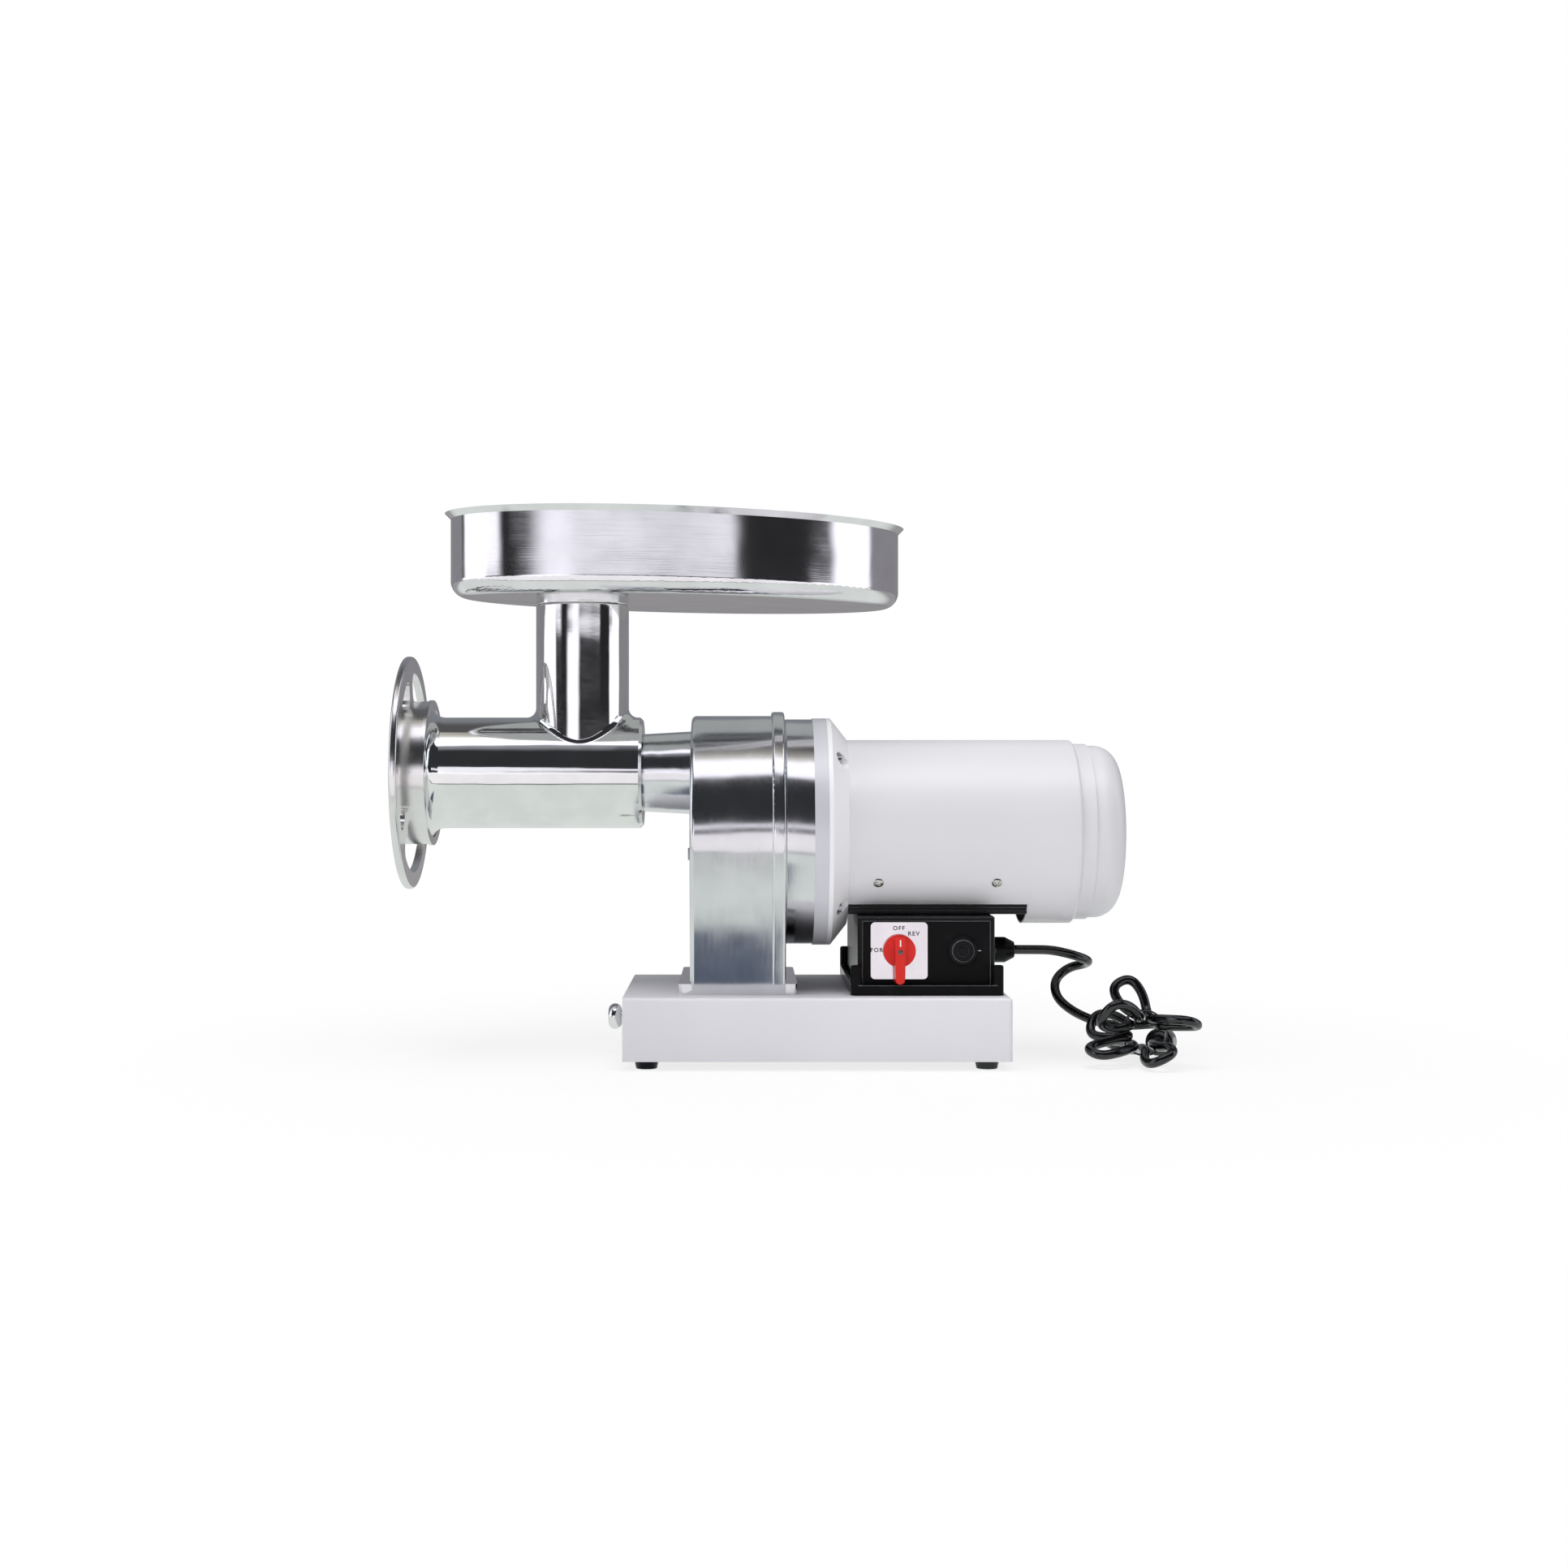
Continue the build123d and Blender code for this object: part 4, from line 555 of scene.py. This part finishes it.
def facing(place, outward):
    """A matrix whose local z points outward from a surface, with local y towards the top."""
    z_axis = Vector(outward).normalized()
    x_axis = UP.cross(z_axis).normalized()
    y_axis = z_axis.cross(x_axis)
    return Matrix.Translation(place) @ Matrix((x_axis, y_axis, z_axis)).transposed().to_4x4()


print("mesh helpers ready")

# %% [markdown]
# ## Cross-head screws
# Four pan-head screws hold the motor shroud and two small ones sit on the rail below it.
# A recess could be cut with a boolean, but a polar grid whose height drops inside a cross is simpler
# and leaves one clean skin.

# %% A cross-head screw
# Shares of the head's radius: half width and reach of the cross
CROSS_HALF, CROSS_REACH = 0.16, 0.62
# Shares of the head's height: depth of the cross, fall to the rim, and how deep the head is sunk
CROSS_DEPTH, RIM_FALL, HEAD_SINK = 0.75, 0.9, 0.4
HEAD_RINGS, HEAD_SPOKES = 14, 48


def cross_screw(shape, matrix, radius, height, turn):
    """A pan head with a cross recess: a polar grid whose heights follow the head and the cut."""
    def level(x, y):
        head = height * (1 - RIM_FALL * ((x * x + y * y) / radius**2) ** 2)
        cut_x = abs(x * math.cos(turn) + y * math.sin(turn))
        cut_y = abs(y * math.cos(turn) - x * math.sin(turn))
        inside = min(cut_x, cut_y) < CROSS_HALF * radius and max(cut_x, cut_y) < CROSS_REACH * radius
        return head - (CROSS_DEPTH * height if inside else 0.0)

    def ring_of_points(r, height_at):
        angles = [2 * math.pi * spoke / HEAD_SPOKES for spoke in range(HEAD_SPOKES)]
        spots = [(r * math.cos(angle), r * math.sin(angle)) for angle in angles]
        return [shape.verts.new(matrix @ Vector((x, y, height_at(x, y)))) for x, y in spots]

    centre = shape.verts.new(matrix @ Vector((0, 0, level(0, 0))))
    rows = [ring_of_points(radius * ring / HEAD_RINGS, level) for ring in range(1, HEAD_RINGS + 1)]
    rows.append(ring_of_points(radius, lambda x, y: -HEAD_SINK * height))
    neighbours = [(spoke, (spoke + 1) % HEAD_SPOKES) for spoke in range(HEAD_SPOKES)]
    for one, other in neighbours:
        shape.faces.new((centre, rows[0][one], rows[0][other]))
    for inner, outer in zip(rows, rows[1:]):
        for one, other in neighbours:
            shape.faces.new((inner[one], outer[one], outer[other], inner[other]))
    shape.faces.new(list(reversed(rows[-1])))


print("screw recess reaches", CROSS_REACH, "of the head's radius")

# %% Screws on the motor shroud and on the rail
MOTOR_AXIS_Z, SHROUD_RADIUS = 0.1924, 0.0787
SHROUD_SCREW_DROP = math.radians(31.5)
SHROUD_SCREW_X, SHROUD_SCREW_RADIUS, SHROUD_SCREW_HEIGHT = (0.052, 0.1505), 0.0044, 0.0017
rail_low, rail_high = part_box("motor_foot_plate")
RAIL_SCREW_X, RAIL_SCREW_BELOW = (0.0365, 0.134), 0.0028
RAIL_SCREW_RADIUS, RAIL_SCREW_HEIGHT = 0.0016, 0.0007


def shroud_screws(shape):
    for side in (-1, 1):
        outward = Vector((0, side * math.cos(SHROUD_SCREW_DROP), -math.sin(SHROUD_SCREW_DROP)))
        for number, x in enumerate(SHROUD_SCREW_X):
            place = Vector((x, 0, MOTOR_AXIS_Z)) + outward * SHROUD_RADIUS
            cross_screw(shape, facing(place, outward), SHROUD_SCREW_RADIUS, SHROUD_SCREW_HEIGHT,
                        turn=0.4 + 0.5 * number)


def rail_screws(shape):
    for number, x in enumerate(RAIL_SCREW_X):
        place = Vector((x, rail_low.y, rail_high.z - RAIL_SCREW_BELOW))
        cross_screw(shape, facing(place, FRONT), RAIL_SCREW_RADIUS, RAIL_SCREW_HEIGHT, turn=0.7 * number)


piece("shroud_screws", shroud_screws, zinc_metal, "frame")
piece("rail_screws", rail_screws, zinc_metal, "frame")
print("screws on the shroud:", 2 * len(SHROUD_SCREW_X), "and on the rail:", len(RAIL_SCREW_X))

# %% [markdown]
# ## Marks and words on the switch
# The lever carries a white mark and a screw, the panel a small tick beside the reset button,
# and the brushed plate three printed words that name the switch's positions.
# The marks are thin bars, a tenth of a millimetre proud, and the words are text objects as thin as these.

# %% Print colours
mark_white, mark_tree = finish_tree("printed_white")
mark_tree.surface(Base_Color=mark_tree.mix(mark_tree.noise(900.0), (0.80, 0.80, 0.80, 1), (0.9, 0.9, 0.9, 1)),
                  Roughness=0.45)
mark_black, ink_tree = finish_tree("printed_black")
ink_shade = ink_tree.mix(ink_tree.noise(900.0), (0.010, 0.010, 0.012, 1), (0.03, 0.03, 0.034, 1))
ink_tree.surface(Base_Color=ink_shade, Roughness=0.5)
print("print colours:", mark_white.name, mark_black.name)

# %% Marks on the switch and on the panel
knob_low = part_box("switch_knob")[0]
plate_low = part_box("switch_plate")[0]
panel_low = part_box("switch_panel")[0]
SWITCH_X, SWITCH_Z, RESET_X = 0.0685, 0.0957, 0.1212
INK = 0.00012
MARK_WIDTH, MARK_LENGTH, MARK_ABOVE = 0.0011, 0.0055, 0.0072
LEVER_SCREW_RADIUS, LEVER_SCREW_HEIGHT = 0.0021, 0.0006
TICK_WIDTH, TICK_HEIGHT, TICK_BESIDE = 0.0028, 0.0005, 0.0137


def flat_bar(shape, matrix, width, height, depth):
    """A thin printed bar that stands just proud of its face."""
    half_x, half_y = width / 2, height / 2
    corners = [(x, y, z) for z in (-depth, depth)
               for x, y in ((-half_x, -half_y), (half_x, -half_y), (half_x, half_y), (-half_x, half_y))]
    v = [shape.verts.new(matrix @ Vector(c)) for c in corners]
    for face in ((3, 2, 1, 0), (4, 5, 6, 7), (0, 1, 5, 4), (1, 2, 6, 5), (2, 3, 7, 6), (3, 0, 4, 7)):
        shape.faces.new([v[i] for i in face])


def lever_mark(shape):
    place = Vector((SWITCH_X, knob_low.y, SWITCH_Z + MARK_ABOVE))
    flat_bar(shape, facing(place, FRONT), MARK_WIDTH, MARK_LENGTH, INK)


def lever_screw(shape):
    place = Vector((SWITCH_X, knob_low.y, SWITCH_Z))
    cross_screw(shape, facing(place, FRONT), LEVER_SCREW_RADIUS, LEVER_SCREW_HEIGHT, turn=0.3)


def reset_tick(shape):
    place = Vector((RESET_X + TICK_BESIDE, panel_low.y, SWITCH_Z))
    flat_bar(shape, facing(place, FRONT), TICK_WIDTH, TICK_HEIGHT, INK)


piece("lever_mark", lever_mark, mark_white, "switch")
piece("lever_screw", lever_screw, lamination, "switch")
piece("reset_tick", reset_tick, mark_white, "frame")
print("marks made at x =", SWITCH_X, "and", RESET_X)

# %% Switch words
WORD_HEIGHT, WORD_BOLD = 0.0034, 0.0001
CAPITAL_SHARE = 0.69  # a capital's height as a share of the font size


def word(name, text, x, z):
    """A printed word on the switch plate, as a thin solid of letters."""
    letters = bpy.data.curves.new(name, "FONT")
    letters.body = text
    letters.align_x = "CENTER"
    letters.align_y = "CENTER"
    letters.size = WORD_HEIGHT / CAPITAL_SHARE
    letters.space_character = 1.25
    letters.extrude = INK
    letters.offset = WORD_BOLD
    letters.resolution_u = 3
    letters.materials.append(mark_black)
    shown = bpy.data.objects.new(name, letters)
    bpy.context.scene.collection.objects.link(shown)
    shown.matrix_world = facing(Vector((x, plate_low.y, z)), FRONT)
    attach(shown, "frame")


# Name: text and the offset from the switch's axis
WORDS = {"word_off": ("OFF", -0.0003, 0.0185), "word_for": ("FOR", -0.0186, 0.0004),
         "word_rev": ("REV", 0.0120, 0.0140)}
for name, (text, beside, above) in WORDS.items():
    word(name, text, SWITCH_X + beside, SWITCH_Z + above)
print("switch words:", len(WORDS))

# %% [markdown]
# ## Floor, light and world
# The photograph is a studio shot, cut out on white. Polished metal shows the studio that it was taken in:
# a bright table and wall low in front, a dark room above them, one softbox overhead,
# two tall softboxes to the sides and a grey backdrop behind.
# The world is painted by direction for mirror rays, plain white for the camera
# and an even light for all other rays.

# %% Directions in the studio
def window(value, start, end, soft):
    """1 between start and end, with soft borders."""
    return value.step(start - soft, start + soft) * (1 - value.step(end - soft, end + soft))


def panels(value, rows):
    """The sum of several windows. Each row is start, end, soft border and level."""
    return sum(window(value, start, end, soft) * level for start, end, soft, level in rows)


world = bpy.data.worlds.new("studio")
bpy.context.scene.world = world
world.use_nodes = True
sky = Tree(world.node_tree)
dir_x, dir_y, dir_z = sky.axes(sky.node("ShaderNodeTexCoord", output="Generated"))
# In degrees: elevation is 0 at the horizon, bearing is 0 towards the camera and grows to the right
IN_DEGREES = 180 / math.pi
elevation = dir_z.math("ARCSINE", dir_z) * IN_DEGREES
bearing_deg = dir_x.math("ARCTAN2", dir_x, dir_y * -1.0) * IN_DEGREES
print("world directions ready")

# %% The studio by bearing
# Each row: first and last bearing, soft border, level. A level of 1 is white.
SIDE_BOXES = ((-102, -64, 2.0, 1.0), (79, 106, 2.0, 1.0))
HORIZON = ((-108, 108, 3.0, 1.3),)
LOW_SLOT = ((-106, -66, 3.5, 1.6), (-33, -5.2, 5.0, 1.35), (74, 106, 2.5, 1.35))
SIDE_WALLS = ((-101, -50, 4.0, 1.35), (83, 108, 2.5, 1.35))
WALL_SHADE = ((22, 40, 9.0, -0.12),)
SHELF, LEFT_GLOW = ((-40, -5.2, 1.5, 1.1),), ((-60, -4.5, 1.5, 0.3),)
SOFTBOX = ((-100, 100, 6.0, 1.4),)
DIM, DARK = 0.02, 0.035

slot = panels(bearing_deg, LOW_SLOT) + DIM
front_wall = bearing_deg.step(-31, -15) * (1 - bearing_deg.step(46.5, 50)) * 1.05
wall = panels(bearing_deg, SIDE_WALLS) + front_wall + panels(bearing_deg, WALL_SHADE) + DIM
dark_room = panels(bearing_deg, SIDE_BOXES) * window(elevation, -20, 44, 2.0) * 1.35 \
    + panels(bearing_deg, SHELF) * window(elevation, 6, 10.4, 0.8) \
    + panels(bearing_deg, LEFT_GLOW) * elevation.step(44, 54) + DARK
print("panels in front of the machine:", len(LOW_SLOT) + len(SIDE_WALLS) + len(SIDE_BOXES))

# %% The studio by elevation
# From the horizon upwards: where each part of the studio begins
SLOT_LOW, WALL_LOW, ROOM_LOW, SOFTBOX_LOW, CEILING_LOW = -0.5, 4.4, 8.4, 57, 76
SOFTBOX_SOFT = 1.2

ceiling = 0.95 - elevation.step(72, 88) * 0.72
level = panels(bearing_deg, HORIZON) * (1 - elevation.step(-1.1, 0.1)) \
    + slot * window(elevation, SLOT_LOW, WALL_LOW, 0.5) \
    + wall * window(elevation, WALL_LOW, ROOM_LOW, 0.5) \
    + dark_room * window(elevation, ROOM_LOW, SOFTBOX_LOW, 0.8) \
    + panels(bearing_deg, SOFTBOX) * window(elevation, SOFTBOX_LOW, CEILING_LOW, SOFTBOX_SOFT) \
    + ceiling * elevation.step(CEILING_LOW - SOFTBOX_SOFT, CEILING_LOW + SOFTBOX_SOFT)
behind = abs(bearing_deg).step(105, 110)
backdrop = 0.26 - elevation.step(40, 66) * 0.16
studio_level = level + (backdrop - level) * behind
print("studio levels begin at", (SLOT_LOW, WALL_LOW, ROOM_LOW, SOFTBOX_LOW, CEILING_LOW), "degrees")

# %% The studio's colours, and which rays see it
WHITE = (1, 1, 1, 1)
COOL_WALL, COOL_ROOM, WARM_CEILING = (0.99, 0.965, 1.05, 1), (0.86, 0.90, 1.0, 1), (1.04, 1.0, 0.93, 1)
RAY_KINDS = ("Is Camera Ray", "Is Glossy Ray", "Is Transmission Ray")
EVEN_LIGHT = 0.40

tint = sky.mix(window(elevation, 9, 56, 3.0), COOL_WALL, COOL_ROOM)
tint = sky.mix(elevation.step(72, 80), tint, WARM_CEILING)
camera_ray, glossy_ray, glass_ray = sky.outputs("ShaderNodeLightPath", RAY_KINDS)
seen = sky.node("ShaderNodeBackground", None, {"Color": WHITE, "Strength": 1.0})
studio = sky.node("ShaderNodeBackground", None, {"Color": tint, "Strength": studio_level})
even = sky.node("ShaderNodeBackground", None, {"Color": WHITE, "Strength": EVEN_LIGHT})
lit = sky.node("ShaderNodeMixShader", None, {0: glossy_ray.higher(glass_ray), 1: even, 2: studio})
sky.node("ShaderNodeOutputWorld", None,
         {"Surface": sky.node("ShaderNodeMixShader", None, {0: camera_ray, 1: lit, 2: seen})})
print("studio world made with", len(world.node_tree.nodes), "nodes")

# %% [markdown]
# ## Floor
# The floor is white for the camera and keeps a faint shadow near the machine.
# It could be a plain white plane, but polished metal would then lose its bands.
# So mirror rays see it as the metal shows it: pale green-grey near the machine,
# a dark line at the table's edge, white beyond that, and grey far behind.
# A dark patch before the pedestal is a painted shadow on the table. It is short-sighted: only rays from low
# surfaces reach it, so that the tray above doesn't repeat it.

# %% Floor plane
FLOOR_HALF = 6.0
floor_mesh = bpy.data.meshes.new("floor")
floor_mesh.from_pydata([(-FLOOR_HALF, -FLOOR_HALF, 0), (FLOOR_HALF, -FLOOR_HALF, 0),
                        (FLOOR_HALF, FLOOR_HALF, 0), (-FLOOR_HALF, FLOOR_HALF, 0)], [], [(0, 1, 2, 3)])
floor = bpy.data.objects.new("floor", floor_mesh)
bpy.context.scene.collection.objects.link(floor)
floor_finish, floor_tree = finish_tree("white_table")
floor_mesh.materials.append(floor_finish)
floor_x, floor_y, _ = floor_tree.axes(floor_tree.place())
print("floor of", 2 * FLOOR_HALF, "m")

# %% Floor as the metal shows it
# the second colour is a painted shadow on the table before the pedestal
PALE_TABLE, PAINTED_SHADOW = (0.76, 0.80, 0.78, 1), (0.10, 0.12, 0.17, 1)
BEYOND_TABLE, TABLE_EDGE, FAR_BEHIND = (1.0, 0.97, 1.0, 1), (0.10, 0.10, 0.12, 1), (0.35, 0.34, 0.35, 1)
EDGE_FAR, EDGE_NEAR = -0.61, -0.565
PATCH_REACH = 0.36, 0.42

camera_ray, glossy_ray, glass_ray, ray_length = floor_tree.outputs(
    "ShaderNodeLightPath", (*RAY_KINDS, "Ray Length"))
# painted shadow on the table before the pedestal, seen only in reflections from low surfaces
shadow_patch_mask = window(floor_x, -0.16, -0.022, 0.004) * window(floor_y, -0.375, -0.09, 0.006) \
    * (1 - ray_length.step(*PATCH_REACH))
table = floor_tree.mix(shadow_patch_mask, PALE_TABLE, PAINTED_SHADOW)
table = floor_tree.mix(1 - floor_y.step(-0.63, -0.60), table, BEYOND_TABLE)
table = floor_tree.mix(window(floor_y, EDGE_FAR, EDGE_NEAR, 0.012), table, TABLE_EDGE)
table = floor_tree.mix(floor_y.step(0.5, 1.4), table, FAR_BEHIND)
mirrored = floor_tree.node("ShaderNodeEmission", None, {"Color": table, "Strength": 1.0})
print("the table's dark edge lies", -EDGE_NEAR, "m in front")

# %% Floor as the camera sees it
MATTE_WHITE = (0.93, 0.93, 0.93, 1)
NEAR_GLOW = 0.80  # share of plain white near the machine; the rest takes its shadow

away = ((floor_x * floor_x + floor_y * floor_y) ** 0.5).step(0.25, 0.75)
matte = floor_tree.node("ShaderNodeBsdfDiffuse", None, {"Color": MATTE_WHITE})
white = floor_tree.node("ShaderNodeEmission", None, {"Color": WHITE, "Strength": 1.0})
to_camera = floor_tree.node("ShaderNodeMixShader", None,
                            {0: camera_ray * (NEAR_GLOW + away * (1 - NEAR_GLOW)), 1: matte, 2: white})
floor_tree.node("ShaderNodeOutputMaterial", None, {"Surface": floor_tree.node(
    "ShaderNodeMixShader", None, {0: glossy_ray.higher(glass_ray), 1: to_camera, 2: mirrored})})
print("floor finish made with", len(floor_tree.tree.nodes), "nodes")

# %% [markdown]
# ## Lamps
# One large softbox hangs overhead, weak ones stand to the left and to the right,
# and a low one before the motor gives back the light that a white table throws up.
# Spot lamps would cast hard shadows, which a studio avoids.
# The lamps are hidden from mirror rays, because the world already shows the softboxes to the metal.

# %% Lamps
# Name: place, target, width and depth in metres, power in watts
LAMPS = {
    "overhead": ((-0.1, -0.3, 1.9), (0, 0, 0.2), (1.8, 1.2), 25),
    "left_side": ((-2.2, -0.9, 0.8), (0, 0, 0.2), (1.2, 1.2), 8),
    "right_front": ((1.6, -1.9, 0.5), (0, 0, 0.15), (1.2, 1.2), 1),
    "table_bounce": ((0.15, -0.27, 0.012), (0.15, -0.2, 0.3), (0.6, 0.24), 0.36),
}


def softbox_lamp(name, place, target, size, power):
    """An area lamp that lights the machine but is seen by neither mirrors nor the camera."""
    data = bpy.data.lights.new(name, "AREA")
    data.shape = "RECTANGLE"
    data.size, data.size_y = size
    data.energy = power
    lamp = bpy.data.objects.new(name, data)
    bpy.context.scene.collection.objects.link(lamp)
    lamp.location = place
    lamp.rotation_euler = (Vector(target) - Vector(place)).to_track_quat("-Z", "Y").to_euler()
    lamp.visible_glossy = False
    lamp.visible_camera = False


for name, setting in LAMPS.items():
    softbox_lamp(name, *setting)
bpy.context.scene.view_settings.view_transform = "Standard"
print("lamps:", len(LAMPS))

# %% [markdown]
